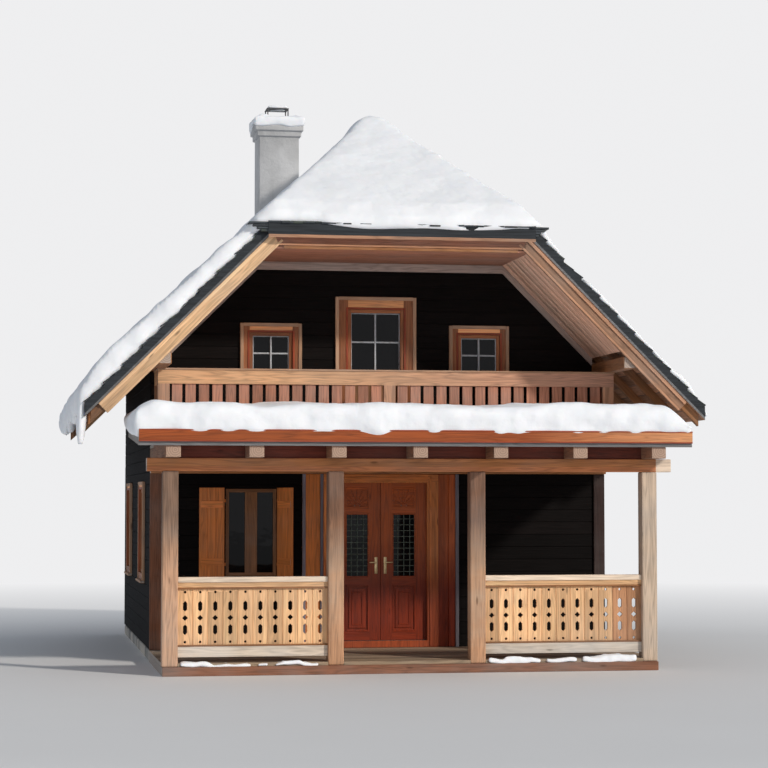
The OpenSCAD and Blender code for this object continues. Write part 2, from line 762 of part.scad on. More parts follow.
// Window frame in the XZ plane with its outer face at y = 0, a mullion and casing boards
module window_frame(w, h, mullion, casing) difference() {
    union() {
        translate([-w / 2, 0, 0]) cube([w, frame_d + 20, h]);
        if (casing > 0) translate([-w / 2 - casing, -casing_t, -casing]) cube([w + 2 * casing, casing_t, h + 2 * casing]);
    }
    for (side = [-1, 1]) mirror([side < 0 ? 1 : 0, 0, 0])
        translate([mullion / 2, -casing_t - 1, frame_w])
            cube([w / 2 - mullion / 2 - frame_w, frame_d + casing_t + 40, h - 2 * frame_w]);
}

// Puts a window piece at every fixed window of the house
module at_windows(front, sides, small) {
    translate([front_win_x, front_y, win_z]) children(front);
    for (side = [-1, 1]) on_side(side) for (y = side_windows_y)
        translate([half_w, y, win_z]) rotate([0, 0, 90]) children(sides);
    for (side = [-1, 1]) {
        translate([side * small_win_x, back_y, win_z]) rotate([0, 0, 180]) children(sides);
        translate([side * small_win_x, back_y, small_win_top - small_win_h])
            rotate([0, 0, 180]) children(small);
        translate([upper_shift + side * small_win_x, front_y, small_win_top - small_win_h])
            children(small);
    }
}

module window_frames() color("#a4602c") at_windows(0, 1, 2) {
    window_frame(front_win_w, win_h, front_mullion, 0);
    window_frame(side_win_w, win_h, side_mullion, side_casing_w);
    window_frame(small_win_w, small_win_h, small_mullion, casing_w);
}

module pane(w, h, mullion) for (side = [-1, 1]) mirror([side < 0 ? 1 : 0, 0, 0])
    translate([mullion / 2, frame_d / 2, frame_w])
        cube([w / 2 - mullion / 2 - frame_w, glass_t, h - 2 * frame_w]);

module window_glass() color("lightblue", 0.4) {
    at_windows(0, 1, 2) {
        pane(front_win_w, win_h, front_mullion);
        pane(side_win_w, win_h, side_mullion);
        pane(small_win_w, small_win_h, small_mullion);
    }
    box(upper_shift - balcony_door_w / 2 + frame_w, upper_shift + balcony_door_w / 2 - frame_w,
        front_y + 50, front_y + 50 + glass_t,
        balcony_door_top - balcony_glass_h, balcony_door_top - frame_w);
}

// Shutter that runs along +X from its hinge axis at the origin
module shutter() {
    h = shutter_z[1] - shutter_z[0];
    translate([shutter_edge, -shutter_t / 2, shutter_z[0]]) cube([shutter_w, shutter_t, h]);
    for (z = shutter_hinges) difference() {
        union() {
            translate([0, 0, z]) cylinder(r = knuckle_r, h = knuckle_h, $fn = 32);
            translate([0, -3, z]) cube([shutter_edge + 1, 6, knuckle_h]);
        }
        translate([0, 0, z - 1]) cylinder(r = pin_r + pin_gap, h = knuckle_h + 2, $fn = 32);
    }
}

module shutter_left() color("#9c5426") translate([shutter_axis[0], shutter_y, 0])
    rotate([0, 0, 180]) shutter();

module shutter_right() color("#9c5426") translate([shutter_axis[1], shutter_y, 0])
    rotate([0, 0, -shutter_ajar]) shutter();

// Pin that stands on a knuckle of its own, with a plate that reaches back to the wall
module hinge_pin(reach) {
    translate([0, 0, -knuckle_h - pin_gap]) {
        cylinder(r = knuckle_r, h = knuckle_h, $fn = 32);
        cylinder(r = pin_r, h = 2 * knuckle_h, $fn = 32);
        translate([-bracket_t / 2, 0, 0]) cube([bracket_t, reach, knuckle_h]);
    }
}

module hinge_pins() color("dimgray") {
    for (side = [-1, 1]) on_side(side) for (z = door_hinges)
        translate([hinge_x, hinge_y, z]) rotate([0, 0, -90]) hinge_pin(leaf_gap + hinge_set);
    for (x = shutter_axis, z = shutter_hinges)
        translate([x, shutter_y, z]) hinge_pin(front_y - shutter_y);
}

// Snow on the right main slope: over the courses, round the eave and back up to the ridge
module slope_snow(top_v, curl) main_layer(concat(main_courses,
    [[eave_half, main_z(eave_half) + board_v + 20],
     [eave_half + curl * 0.7, main_z(eave_half) + board_v],
     [eave_half + curl, main_z(eave_half) + board_v + top_v * 0.5],
     [eave_half + curl * 0.6, main_z(eave_half) + board_v + top_v * 0.95]],
    [[eave_half - snow_round, main_z(eave_half - snow_round) + board_v + shingle_hi + top_v],
     [0, ridge_z + board_v + shingle_hi + snow_ridge]]), seam_gap);

module snow_left() color("white") difference() {
    on_side(-1) slope_snow(snow_left_v, snow_curl);
    chimney_space();
}

module snow_right() color("white") on_side(1) slope_snow(snow_right_v, 40);

module hip_snow() hip_layer(concat(hip_courses,
    [[hip_run, ridge_z - hip_run * hip_rise + board_v + shingle_hi + snow_hip_v * 0.6],
     [hip_run - snow_round, ridge_z - (hip_run - snow_round) * hip_rise + board_v + shingle_hi + snow_hip_v],
     [0, ridge_z + board_v + shingle_hi + snow_ridge]]), seam_gap);

module snow_hips() color("white") {
    hip_snow();
    to_back() hip_snow();
}

module snow_porch() color("white") intersection() {
    front = joist_front - 2 * fascia_t - snow_nose;
    crown = fascia_z + fascia_h + snow_porch_v;
    r = snow_porch_v * 0.45;
    side = porch_half + snow_side;
    along_x(-side, side) polygon(concat(
        porch_courses,
        [[joist_front - fascia_t, fascia_z + fascia_h], [front + 30, fascia_z + fascia_h]],
        arc([front + r, crown - r], r, 200, 90, 6),
        [[balcony_y, crown + 40]]));
    along_y(front - 10, balcony_y) polygon(concat(
        [[-side, joist_z(joist_front)], [side, joist_z(joist_front)]],
        arc([side - r, crown + 41 - r], r, 0, 90, 6),
        arc([r - side, crown + 41 - r], r, 90, 180, 6)));
}

plinth();
ground_floor();
upper_floor();
corner_boards();
front_wall_left();
front_wall_right();
front_wall_over_door();
left_wall();
right_wall();
back_wall();
gable_front();
gable_back();
porch_sills();
porch_floor();
porch_posts();
porch_beams();
porch_joists();
porch_railing();
porch_roof();
porch_fascia();
balcony_floor();
balcony_railing();
purlins();
rafters();
roof_boards();
shingles_left();
shingles_right();
hip_shingles();
verge_boards();
chimney();
chimney_cowl();
door_frame();
door_leaf_left();
door_leaf_right();
door_glass_left();
door_glass_right();
balcony_door();
window_frames();
window_glass();
shutter_left();
shutter_right();
hinge_pins();
snow_left();
snow_right();
snow_hips();
snow_porch();
verge_soffits();
gable_trims();
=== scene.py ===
"""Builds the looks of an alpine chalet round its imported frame: timber, shingles, windows, doors and snow."""

import math
import random

import bmesh
import bpy
from mathutils import Matrix, Vector, noise


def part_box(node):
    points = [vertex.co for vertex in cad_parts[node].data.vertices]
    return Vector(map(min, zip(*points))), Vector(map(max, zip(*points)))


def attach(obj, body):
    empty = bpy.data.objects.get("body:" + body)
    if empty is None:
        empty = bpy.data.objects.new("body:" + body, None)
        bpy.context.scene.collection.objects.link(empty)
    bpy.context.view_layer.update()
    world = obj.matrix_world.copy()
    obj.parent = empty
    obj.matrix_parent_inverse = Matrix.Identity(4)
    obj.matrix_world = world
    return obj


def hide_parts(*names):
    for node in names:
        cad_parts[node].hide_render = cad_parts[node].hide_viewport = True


bl_info = {
    "name": "Alpine Chalet",
    "version": (1, 0, 0),
    "blender": (4, 5, 0),
    "location": "View3D > Sidebar > Chalet",
    "description": "Timber house with a half-hipped shingle roof under snow, a porch and a balcony",
    "category": "Object",
}

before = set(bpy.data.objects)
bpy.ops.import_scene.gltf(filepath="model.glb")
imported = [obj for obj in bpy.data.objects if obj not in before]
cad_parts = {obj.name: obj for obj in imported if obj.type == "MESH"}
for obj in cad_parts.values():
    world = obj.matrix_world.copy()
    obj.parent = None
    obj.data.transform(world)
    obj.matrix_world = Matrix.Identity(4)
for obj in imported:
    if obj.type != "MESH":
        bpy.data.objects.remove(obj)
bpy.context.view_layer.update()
# Without a seed the noise vectors of the stones and the small heaps differ from run to run
noise.seed_set(7)

X, Y, Z = Vector((1, 0, 0)), Vector((0, 1, 0)), Vector((0, 0, 1))

# Places and sizes of the frame, in metres
HALF_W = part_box("right_wall")[1].x
FRONT_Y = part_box("gable_front")[0].y
BACK_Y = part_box("gable_back")[1].y
UPPER_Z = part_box("upper_floor")[1].z
ROOF_BOARD = 0.038
RIDGE_Z = 7.07
EAVE_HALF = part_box("roof_boards")[1].x
COVER_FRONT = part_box("shingles_right")[0].y
COVER_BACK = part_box("shingles_right")[1].y
HIP_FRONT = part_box("hip_shingles")[0].y
HIP_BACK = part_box("hip_shingles")[1].y
VERGE_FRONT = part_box("verge_boards")[0].y
VERGE_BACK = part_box("verge_boards")[1].y
PITCH = math.radians(45)
HIP_PITCH = math.radians(33)
HIP_DROP = 1.63
APEX_FRONT = VERGE_FRONT + HIP_DROP / math.tan(HIP_PITCH)
APEX_BACK = VERGE_BACK - HIP_DROP / math.tan(HIP_PITCH)
MITRE = math.tan(HIP_PITCH) / math.tan(PITCH)
COURSE_LO, COURSE_HI = 0.100, 0.140
COURSE = 0.34
MAIN_COURSES = math.ceil(EAVE_HALF / math.cos(PITCH) / COURSE)
HIP_COURSES = math.ceil((APEX_FRONT - HIP_FRONT) / math.cos(HIP_PITCH) / COURSE)
VERGE_FOOT = EAVE_HALF - 0.23
VERGE_DEPTH = 0.165
SOFFIT_HALF = HIP_DROP + 0.025
DOWN_RIGHT = Vector((1, 0, -1)).normalized()
DOWN_LEFT = Vector((-1, 0, -1)).normalized()
DOWN_FRONT = Vector((0, -math.cos(HIP_PITCH), -math.sin(HIP_PITCH)))
DOWN_BACK = Vector((0, math.cos(HIP_PITCH), -math.sin(HIP_PITCH)))
DOOR_HALF = 0.63
LEAF_OUT = FRONT_Y + 0.02
SIDE_WINDOWS_Y = (FRONT_Y + (BACK_Y - FRONT_Y) / 4, BACK_Y - (BACK_Y - FRONT_Y) / 4)
FRONT_WINDOW_X = -1.725
SMALL_WINDOW_X = 1.4
SMALL_WINDOW_Z = (3.75, 4.30)
WINDOW_Z = (1.10, 2.24)
UPPER_SHIFT = -0.07
BALCONY_DOOR = (0.375, UPPER_Z + 0.04, 4.62)
JOIST_W = 0.18
RAIL_BAYS = ((-2.865, -1.055, 10), (0.885, 2.865, 11))
# Beyond MIDDLE_Y a piece belongs to the back; the lowest wall board starts at WALL_FOOT
MIDDLE_Y = 5.0
WALL_FOOT = 0.15
SOFFIT_BOARD = 0.2
SLAT_PITCH = 0.0861
# Casings, front door and shutters; JAMB and PANEL_NOTCH are measured from the middle of the door
CASING_HEAD = 0.17
JAMB = 0.77
DOOR_HEAD = 2.336
PANEL_NOTCH = 0.91
SHUTTER_AJAR = math.radians(62)
SHUTTER_W = 0.33
SHUTTER_PIN_X = 0.335 + 0.008


def colour(label, note, value):
    """A colour that a user may change."""
    return bpy.props.FloatVectorProperty(name=label, description=note, subtype="COLOR", size=3,
                                         min=0.0, max=1.0, default=value)


def length(label, note, value):
    """A size in metres that a user may change."""
    return bpy.props.FloatProperty(name=label, description=note, unit="LENGTH", subtype="DISTANCE",
                                   min=0.0, default=value)


class ChaletColours(bpy.types.PropertyGroup):
    """Colours of the finishes."""
    grey_timber: colour("Weathered timber", "Posts, joists and trims", (0.33, 0.25, 0.18))
    pale_timber: colour("Pale timber", "Porch railing", (0.76, 0.45, 0.23))
    honey_timber: colour("Honey timber", "Left verge boards", (0.78, 0.50, 0.28))
    edge_timber: colour("Edge timber", "Edges of the casings and the railings' caps", (0.45, 0.265, 0.16))
    brown_boards: colour("Brown boards", "Purlins, beams and corner boards", (0.30, 0.13, 0.05))
    tan_boards: colour("Tan boards", "Soffits and right verge boards", (0.46, 0.24, 0.14))
    orange_boards: colour("Oiled boards", "Casings of the windows", (0.34, 0.118, 0.042))
    rose_boards: colour("Rosy boards", "Balcony slats and hip boards", (0.42, 0.18, 0.11))
    red_timber: colour("Door timber", "Front door and its surround", (0.42, 0.085, 0.012))
    dark_timber: colour("Blackened timber", "Walls", (0.0052, 0.0035, 0.0032))
    floor_boards: colour("Floor boards", "Porch, balcony and room floors", (0.36, 0.26, 0.17))
    shingles: colour("Shingles", "Roof covering", (0.035, 0.042, 0.050))
    plaster: colour("Plaster", "Chimney", (0.60, 0.60, 0.60))
    snow: colour("Snow", "Settled snow", (0.89, 0.91, 0.945))


class ChaletSizes(bpy.types.PropertyGroup):
    """Sizes of the details that the looks add to the frame."""
    wall_board: length("Wall board", "Height of one wall board", 0.165)
    roof_board: length("Roof board", "Width of one roof board", 0.18)
    floor_board: length("Floor board", "Width of one floor board", 0.14)
    joint: length("Joint", "Width of the groove between boards", 0.012)
    arris: length("Arris", "Worn edge of the timbers", 0.008)
    shingle: length("Shingle", "Usual width of one shingle", 0.12)
    bar: length("Window bar", "Width of the window bars", 0.022)
    snow_cell: length("Snow cell", "Finest lump of the settled snow", 0.05)
    snow_swell: length("Snow swell", "Height of the snow's lumps", 0.05)


class Paint:
    """A node material in the making."""

    def __init__(self, name):
        self.material = bpy.data.materials.new(name)
        self.material.use_nodes = True
        self.tree = self.material.node_tree
        self.tree.nodes.clear()
        self.shader = self.add("BsdfPrincipled")
        self.out = self.add("OutputMaterial")
        self.tree.links.new(self.shader.outputs[0], self.out.inputs[0])

    def add(self, kind, sockets=None, **settings):
        """A new node with its inputs fed and its settings made."""
        node = self.tree.nodes.new("ShaderNode" + kind)
        for key, value in settings.items():
            setattr(node, key, value)
        for key, value in (sockets or {}).items():
            self.feed(node.inputs[key], value)
        return node

    def feed(self, socket, value):
        """Links an output to an input, or sets the input to a plain value."""
        if isinstance(value, bpy.types.NodeSocket):
            self.tree.links.new(value, socket)
        else:
            socket.default_value = value

    def set(self, **values):
        """Feeds inputs of the surface shader by name."""
        for key, value in values.items():
            self.feed(self.shader.inputs[key.replace("_", " ")], value)

    def place(self):
        return self.add("TexCoord").outputs["Object"]

    def grain(self):
        return self.add("UVMap", uv_map="grain").outputs["UV"]

    def attribute(self, name):
        return self.add("Attribute", attribute_name=name).outputs["Fac"]

    def stretch(self, vector, scale):
        return self.add("Mapping", {"Vector": vector, "Scale": scale}).outputs[0]

    def cloud(self, vector, scale=1.0, detail=4.0, rough=0.55, twist=0.0):
        """Soft noise."""
        return self.add("TexNoise", {"Vector": vector, "Scale": scale, "Detail": detail,
                                     "Roughness": rough, "Distortion": twist}).outputs[0]

    def cells(self, vector, scale=1.0, feature="F1"):
        return self.add("TexVoronoi", {"Vector": vector, "Scale": scale}, feature=feature)

    def sum(self, kind, a, b=0.0):
        return self.add("Math", {0: a, 1: b}, operation=kind).outputs[0]

    def times(self, a, b):
        return self.sum("MULTIPLY", a, b)

    def plus(self, a, b):
        return self.sum("ADD", a, b)

    def reach(self, value, lo, hi, to_lo=0.0, to_hi=1.0):
        """The value carried from one range to another, and held at its ends."""
        return self.add("MapRange", {"Value": value, "From Min": lo, "From Max": hi,
                                     "To Min": to_lo, "To Max": to_hi}).outputs[0]

    def ramp(self, fac, *stops):
        """A colour from a value, by stops of place and colour."""
        node = self.add("ValToRGB", {"Fac": fac})
        band = node.color_ramp
        while len(band.elements) < len(stops):
            band.elements.new(0.5)
        for element, (spot, shade) in zip(band.elements, stops):
            element.position = spot
            element.color = (*shade[:3], 1)
        return node.outputs[0]

    def mix(self, fac, a, b, kind="MIX"):
        node = self.add("Mix", {"Factor": fac}, data_type="RGBA", blend_type=kind)
        for spot, value in ((6, a), (7, b)):
            linked = isinstance(value, bpy.types.NodeSocket)
            self.feed(node.inputs[spot], value if linked else (*value[:3], 1))
        return node.outputs[2]

    def toned(self, wood, lo, hi):
        """The wood darker or lighter by the tone of each board, from lo to hi."""
        tone = self.reach(self.attribute("tone"), 0.0, 1.0, lo, hi)
        factor = self.add("CombineColor", {0: tone, 1: tone, 2: tone}).outputs[0]
        return self.mix(1.0, wood, factor, "MULTIPLY")

    def relief(self, height, distance, strength=1.0):
        """Raises the surface by a height, without changing its shape."""
        bump = self.add("Bump", {"Height": height, "Distance": distance, "Strength": strength})
        self.tree.links.new(bump.outputs[0], self.shader.inputs["Normal"])


def shade(tint, k):
    """A colour k times as bright."""
    return [min(1.0, c * k) for c in tint[:3]]


def timber(name, tint, weather=0.3, depth=0.55, rough=0.7, relief=0.003, age=(0.40, 0.37, 0.34),
           ends=None, below=None, shine=0.28):
    """Wood with year rings, fibres, knots, stains, end grain and a tone of its own for each board."""
    p = Paint(name)
    grain, cut = p.grain(), p.attribute("cut")
    rings = p.cloud(p.stretch(grain, (0.5, 7.0, 1.0)), 1.0, 3.0, 0.5, 0.35)
    rings = p.sum("PINGPONG", p.times(rings, 11.0), 0.5)
    fibre = p.cloud(p.stretch(grain, (2.5, 75.0, 1.0)), 1.0, 5.0, 0.65)
    streak = p.cloud(p.stretch(grain, (0.35, 16.0, 1.0)), 1.0, 3.0, 0.6)
    figure = p.plus(p.times(rings, 0.7), p.times(fibre, 0.65))
    wood = p.ramp(figure, (0.18, shade(tint, 1.25)), (0.5, tint), (0.85, shade(tint, 1 - depth)))
    wood = p.mix(p.reach(streak, 0.45, 0.75, 0.0, 0.6), wood, shade(tint, 0.5))
    pale = p.cloud(p.stretch(grain, (0.7, 9.0, 1.0)), 1.0, 4.0, 0.6)
    wood = p.mix(p.reach(pale, 0.55, 0.8, 0.0, 0.7), wood, shade(tint, 1.55))
    stain = p.cloud(p.stretch(p.place(), (0.8, 0.8, 1.4)), 1.0, 5.0, 0.6)
    wood = p.mix(p.reach(stain, 0.42, 0.72, 0.0, weather), wood, shade(age, 0.35 + 0.9 * max(tint)))
    knots = p.cells(p.stretch(grain, (1.3, 4.6, 1.0))).outputs["Distance"]
    knots = p.reach(knots, 0.035, 0.085, 1.0, 0.0)
    wood = p.mix(p.times(knots, 0.75), wood, shade(tint, 0.28))
    wood = p.toned(wood, 0.62, 1.30)
    # Brightens or darkens the wood below a height along one axis; on the posts this is painted light and shade
    if below:
        axis, lo, hi, factor = below
        spot = p.add("SeparateXYZ", {0: p.place()}).outputs[axis]
        spot = p.plus(spot, p.times(stain, 0.5))
        factor = p.add("CombineColor", dict(enumerate(factor))).outputs[0]
        tinted = p.mix(1.0, wood, factor, "MULTIPLY")
        wood = p.mix(p.reach(spot, lo + 0.25, hi + 0.25, 1.0, 0.0), wood, tinted)
    year = p.add("TexWave", {"Vector": grain, "Scale": 12.0, "Distortion": 2.0, "Detail": 2.0},
                 wave_type="RINGS", rings_direction="Z").outputs[0]
    ends = ends or shade(age, 0.9)
    end = p.mix(p.reach(year, 0.2, 0.9), ends, shade(ends, 0.7))
    wood = p.mix(p.times(cut, 0.8), wood, end)
    p.set(Base_Color=wood, Roughness=p.reach(fibre, 0.3, 0.8, rough - 0.08, rough + 0.12),
          Specular_IOR_Level=shine)
    p.relief(p.sum("SUBTRACT", p.times(fibre, 0.8), p.times(rings, 0.6)), relief)
    return p.material


def snow_finish(tint):
    """Settled snow: soft hollows, a fine crust and a little light passing through."""
    p = Paint("settled_snow")
    lumps = p.cloud(p.place(), 2.2, 4.0, 0.55)
    crust = p.cloud(p.place(), 38.0, 4.0, 0.7)
    pits = p.reach(p.cells(p.place(), 9.0, "SMOOTH_F1").outputs["Distance"], 0.1, 0.5)
    white = p.mix(p.reach(lumps, 0.35, 0.7), shade(tint, 0.985), shade(tint, 1.025))
    needles = p.reach(p.cells(p.place(), 11.0).outputs["Distance"], 0.02, 0.05, 1.0, 0.0)
    sparse = p.reach(p.cloud(p.place(), 1.3, 2.0), 0.60, 0.66)
    white = p.mix(p.times(needles, p.times(sparse, 0.8)), white, (0.16, 0.13, 0.10))
    p.set(Base_Color=white, Roughness=0.82, Subsurface_Weight=0.12, Subsurface_Scale=0.05)
    p.shader.inputs["Subsurface Radius"].default_value = (0.6, 0.8, 1.0)
    height = p.plus(lumps, p.plus(p.times(crust, 0.10), p.times(pits, 0.25)))
    p.relief(height, 0.03, 0.55)
    return p.material


def shingle_finish(tint, base=False):
    """Split shingles, weathered grey with a little moss, and darker layers where only their edges show."""
    p = Paint("shingle_layers" if base else "split_shingles")
    if base:
        place = p.place()
        layers = p.cloud(p.stretch(place, (2.0, 2.0, 40.0)), 1.0, 3.0, 0.6)
        wood = p.ramp(layers, (0.3, shade(tint, 0.35)), (0.7, shade(tint, 0.9)))
        p.set(Base_Color=wood, Roughness=0.85)
        p.relief(layers, 0.006)
        return p.material
    grain = p.grain()
    fibre = p.cloud(p.stretch(grain, (4.0, 70.0, 1.0)), 1.0, 5.0, 0.65)
    wood = p.ramp(fibre, (0.25, shade(tint, 0.55)), (0.55, tint), (0.85, shade(tint, 1.9)))
    moss = p.reach(p.cloud(p.place(), 3.5, 5.0, 0.6), 0.52, 0.68)
    wood = p.mix(p.times(moss, 0.45), wood, (0.075, 0.095, 0.035))
    wood = p.toned(wood, 0.55, 1.7)
    p.set(Base_Color=wood, Roughness=p.reach(fibre, 0.3, 0.8, 0.62, 0.85))
    p.relief(fibre, 0.004)
    return p.material


def plaster_finish(tint):
    """Rough lime plaster with soot and rain marks towards the crown."""
    p = Paint("rough_plaster")
    place = p.place()
    rough = p.cloud(place, 14.0, 6.0, 0.65)
    trowel = p.cloud(place, 2.6, 3.0, 0.5, 0.6)
    rain = p.cloud(p.stretch(place, (7.0, 7.0, 0.5)), 1.0, 4.0, 0.6)
    wall = p.mix(p.reach(trowel, 0.35, 0.7), shade(tint, 0.86), shade(tint, 1.08))
    wall = p.mix(p.reach(rain, 0.5, 0.75, 0.0, 0.45), wall, shade(tint, 0.58))
    soot = p.reach(p.add("SeparateXYZ", {0: place}).outputs[2], 6.9, 7.6, 0.0, 0.35)
    wall = p.mix(p.times(soot, rough), wall, (0.12, 0.11, 0.10))
    p.set(Base_Color=wall, Roughness=0.9)
    p.relief(p.plus(rough, p.times(trowel, 1.5)), 0.012, 0.8)
    return p.material


def stone_finish():
    """Field stones in grey and brown."""
    p = Paint("field_stone")
    place, tone = p.place(), p.attribute("tone")
    spots = p.cloud(place, 16.0, 6.0, 0.65)
    stone = p.ramp(p.plus(p.times(spots, 0.5), p.times(tone, 0.5)),
                   (0.25, (0.16, 0.155, 0.145)), (0.5, (0.30, 0.29, 0.27)), (0.75, (0.42, 0.38, 0.33)))
    p.set(Base_Color=stone, Roughness=0.88)
    p.relief(spots, 0.012)
    return p.material


def metal_finish(name, tint, rough, wear=0.3):
    """Metal with a dull, uneven skin."""
    p = Paint(name)
    skin = p.cloud(p.place(), 26.0, 5.0, 0.6)
    p.set(Base_Color=p.mix(p.reach(skin, 0.4, 0.7, 0.0, wear), tint, shade(tint, 0.5)),
          Metallic=0.9, Roughness=p.reach(skin, 0.3, 0.7, rough, rough + 0.25))
    p.relief(skin, 0.0008)
    return p.material


def glass_finish():
    """Old window glass, slightly wavy, on a near-black base that lets little light through and paints the
    shade of the unlit rooms behind it.
    """
    p = Paint("old_glass")
    depth = p.reach(p.cloud(p.place(), 0.9, 2.0), 0.3, 0.7)
    # The near-black base colour is painted shade of the rooms behind the glass
    p.set(Base_Color=p.mix(depth, (0.004, 0.004, 0.005), (0.010, 0.010, 0.012)),
          Roughness=0.03, Transmission_Weight=0.25, IOR=1.45, Specular_IOR_Level=0.12)
    p.relief(p.cloud(p.place(), 4.0, 2.0), 0.002, 0.5)
    return p.material


def bar_finish():
    """Pale grey-blue paint on the window bars."""
    p = Paint("bar_paint")
    wear = p.cloud(p.place(), 30.0, 4.0, 0.6)
    p.set(Base_Color=p.ramp(wear, (0.35, (0.52, 0.56, 0.60)), (0.7, (0.38, 0.39, 0.39))), Roughness=0.55)
    p.relief(wear, 0.001)
    return p.material


# Woods: name of the material, colour (None takes the user's colour of that name), weathering, depth of the
# figure, roughness, and what else differs; "below" is an axis, where it fades along it, and a factor
WOODS = {
    "grey_timber": ("weathered_timber", None, 0.5, 0.6, 0.78),
    # On the posts, "below" paints light: parts under z 1.45 to 2.15 are made lighter as if sunlit, the parts
    # above keep a darker colour for the porch roof's shadow
    "post_timber": ("post_timber", (0.235, 0.145, 0.098), 0.4, 0.55, 0.74,
                    {"below": (2, 1.2, 1.9, (2.5, 2.35, 2.15))}),
    # The middle posts' darker colour is painted shade under the porch roof
    "middle_post": ("middle_post", (0.19, 0.098, 0.060), 0.35, 0.5, 0.74,
                    {"below": (2, 1.2, 1.9, (2.5, 2.6, 2.35))}),
    # A very pale finish that paints light on the shaded slope soffits
    "soffit_painted_light": ("soffit_larch", (0.95, 0.56, 0.39), 0.3, 0.5, 0.68),
    "ceiling_timber": ("ceiling_larch", (0.50, 0.15, 0.07), 0.2, 0.5, 0.68),
    # The right corner post's paler colour is painted sunlight
    "corner_post": ("corner_post", (0.50, 0.38, 0.28), 0.45, 0.5, 0.74),
    # A near-black finish that paints shade on the right corner covers
    "corner_painted_shade": ("corner_larch", (0.032, 0.015, 0.012), 0.3, 0.5, 0.66),
    "cover_timber": ("cover_larch", (0.17, 0.065, 0.032), 0.3, 0.5, 0.66),
    "verge_timber": ("verge_larch", (0.30, 0.165, 0.10), 0.35, 0.5, 0.66),
    "joist_timber": ("joist_timber", (0.24, 0.12, 0.065), 0.4, 0.6, 0.78, {"ends": (0.52, 0.36, 0.27)}),
    "trim_timber": ("trim_timber", (0.40, 0.31, 0.27), 0.4, 0.45, 0.72),
    "cap_timber": ("cap_larch", (0.70, 0.56, 0.43), 0.35, 0.35, 0.66),
    "rail_timber": ("rail_larch", (0.56, 0.30, 0.20), 0.2, 0.5, 0.6,
                    {"below": (0, -1.6, 2.2, (1.38, 1.45, 1.15))}),
    "level_timber": ("level_larch", (0.50, 0.24, 0.13), 0.2, 0.5, 0.6),
    "roof_edge": ("roof_edge_timber", (0.20, 0.20, 0.205), 0.4, 0.5, 0.75),
    "jamb_timber": ("jamb_larch", (0.60, 0.19, 0.045), 0.12, 0.5, 0.5,
                    {"relief": 0.002, "below": (2, 0.8, 1.5, (0.50, 0.30, 0.35))}),
    "panel_timber": ("panel_larch", (0.70, 0.21, 0.04), 0.12, 0.5, 0.5),
    "slate_timber": ("slate_batten", (0.20, 0.18, 0.21), 0.3, 0.4, 0.6),
    "shutter_timber": ("shutter_larch", (0.70, 0.22, 0.05), 0.12, 0.5, 0.55),
    "sill_timber": ("sill_timber", (0.24, 0.10, 0.055), 0.5, 0.55, 0.72),
    "frost_timber": ("frost_grey_timber", (0.64, 0.53, 0.42), 0.5, 0.4, 0.8, {"age": (0.85, 0.83, 0.80)}),
    "pale_timber": ("pale_larch", None, 0.2, 0.45, 0.62),
    "honey_timber": ("honey_larch", None, 0.2, 0.4, 0.62, {"below": (2, 3.1, 4.1, (0.74, 0.70, 0.66))}),
    "edge_timber": ("edge_larch", None, 0.35, 0.4, 0.68),
    "brown_boards": ("brown_larch", None, 0.3, 0.55, 0.66, {"ends": (0.50, 0.42, 0.36)}),
    "beam_timber": ("beam_larch", (0.44, 0.175, 0.06), 0.2, 0.5, 0.66, {"ends": (0.66, 0.60, 0.54)}),
    "orange_boards": ("oiled_larch", None, 0.15, 0.5, 0.5),
    "fascia_timber": ("fascia_larch", (0.62, 0.27, 0.11), 0.15, 0.5, 0.5,
                      {"ends": (0.72, 0.52, 0.34), "below": (0, 1.2, 3.4, (0.48, 0.24, 0.12))}),
    # Orange finish for the plate beam's lower band, painted light
    "beam_edge": ("beam_edge_larch", (0.46, 0.165, 0.06), 0.15, 0.5, 0.55),
    # Redder finish that paints the corner post's shadow on the railing's last boards
    "railing_painted_post_shadow": ("red_larch", (0.50, 0.24, 0.115), 0.2, 0.45, 0.66),
    "head_timber": ("casing_head_larch", (0.98, 0.42, 0.17), 0.15, 0.45, 0.55),
    "rose_boards": ("rosy_larch", None, 0.35, 0.5, 0.68),
    "red_timber": ("door_larch", None, 0.08, 0.5, 0.42,
                   {"relief": 0.002, "below": (2, 0.9, 1.6, (0.50, 0.30, 0.45))}),
    "filler_timber": ("filler_larch", (0.15, 0.030, 0.015), 0.15, 0.5, 0.6),
    "strip_timber": ("strip_larch", (0.30, 0.055, 0.02), 0.1, 0.45, 0.5, {"relief": 0.002}),
    "dark_timber": ("blackened_larch", None, 0.3, 0.6, 0.8, {"age": (0.030, 0.026, 0.025), "shine": 0.12}),
    "floor_boards": ("floor_larch", None, 0.5, 0.5, 0.72),
    "tan_boards": ("tan_larch", None, 0.35, 0.55, 0.68),
}
METALS = {
    "grille": ("green_grille", (0.16, 0.19, 0.16), 0.5),
    "iron": ("black_iron", (0.045, 0.043, 0.04), 0.45),
    "sheet_metal": ("dull_sheet", (0.16, 0.16, 0.165), 0.5),
    "brass": ("door_brass", (0.72, 0.55, 0.30), 0.25, 0.5),
}
OTHERS = {
    "shingles": lambda user: shingle_finish(user.shingles),
    "shingle_layers": lambda user: shingle_finish(user.shingles, True),
    "plaster": lambda user: plaster_finish(user.plaster),
    "stone": lambda user: stone_finish(),
    "snow": lambda user: snow_finish(user.snow),
    "window_glass": lambda user: glass_finish(),
    "bar_paint": lambda user: bar_finish(),
}
FINISHES = {}


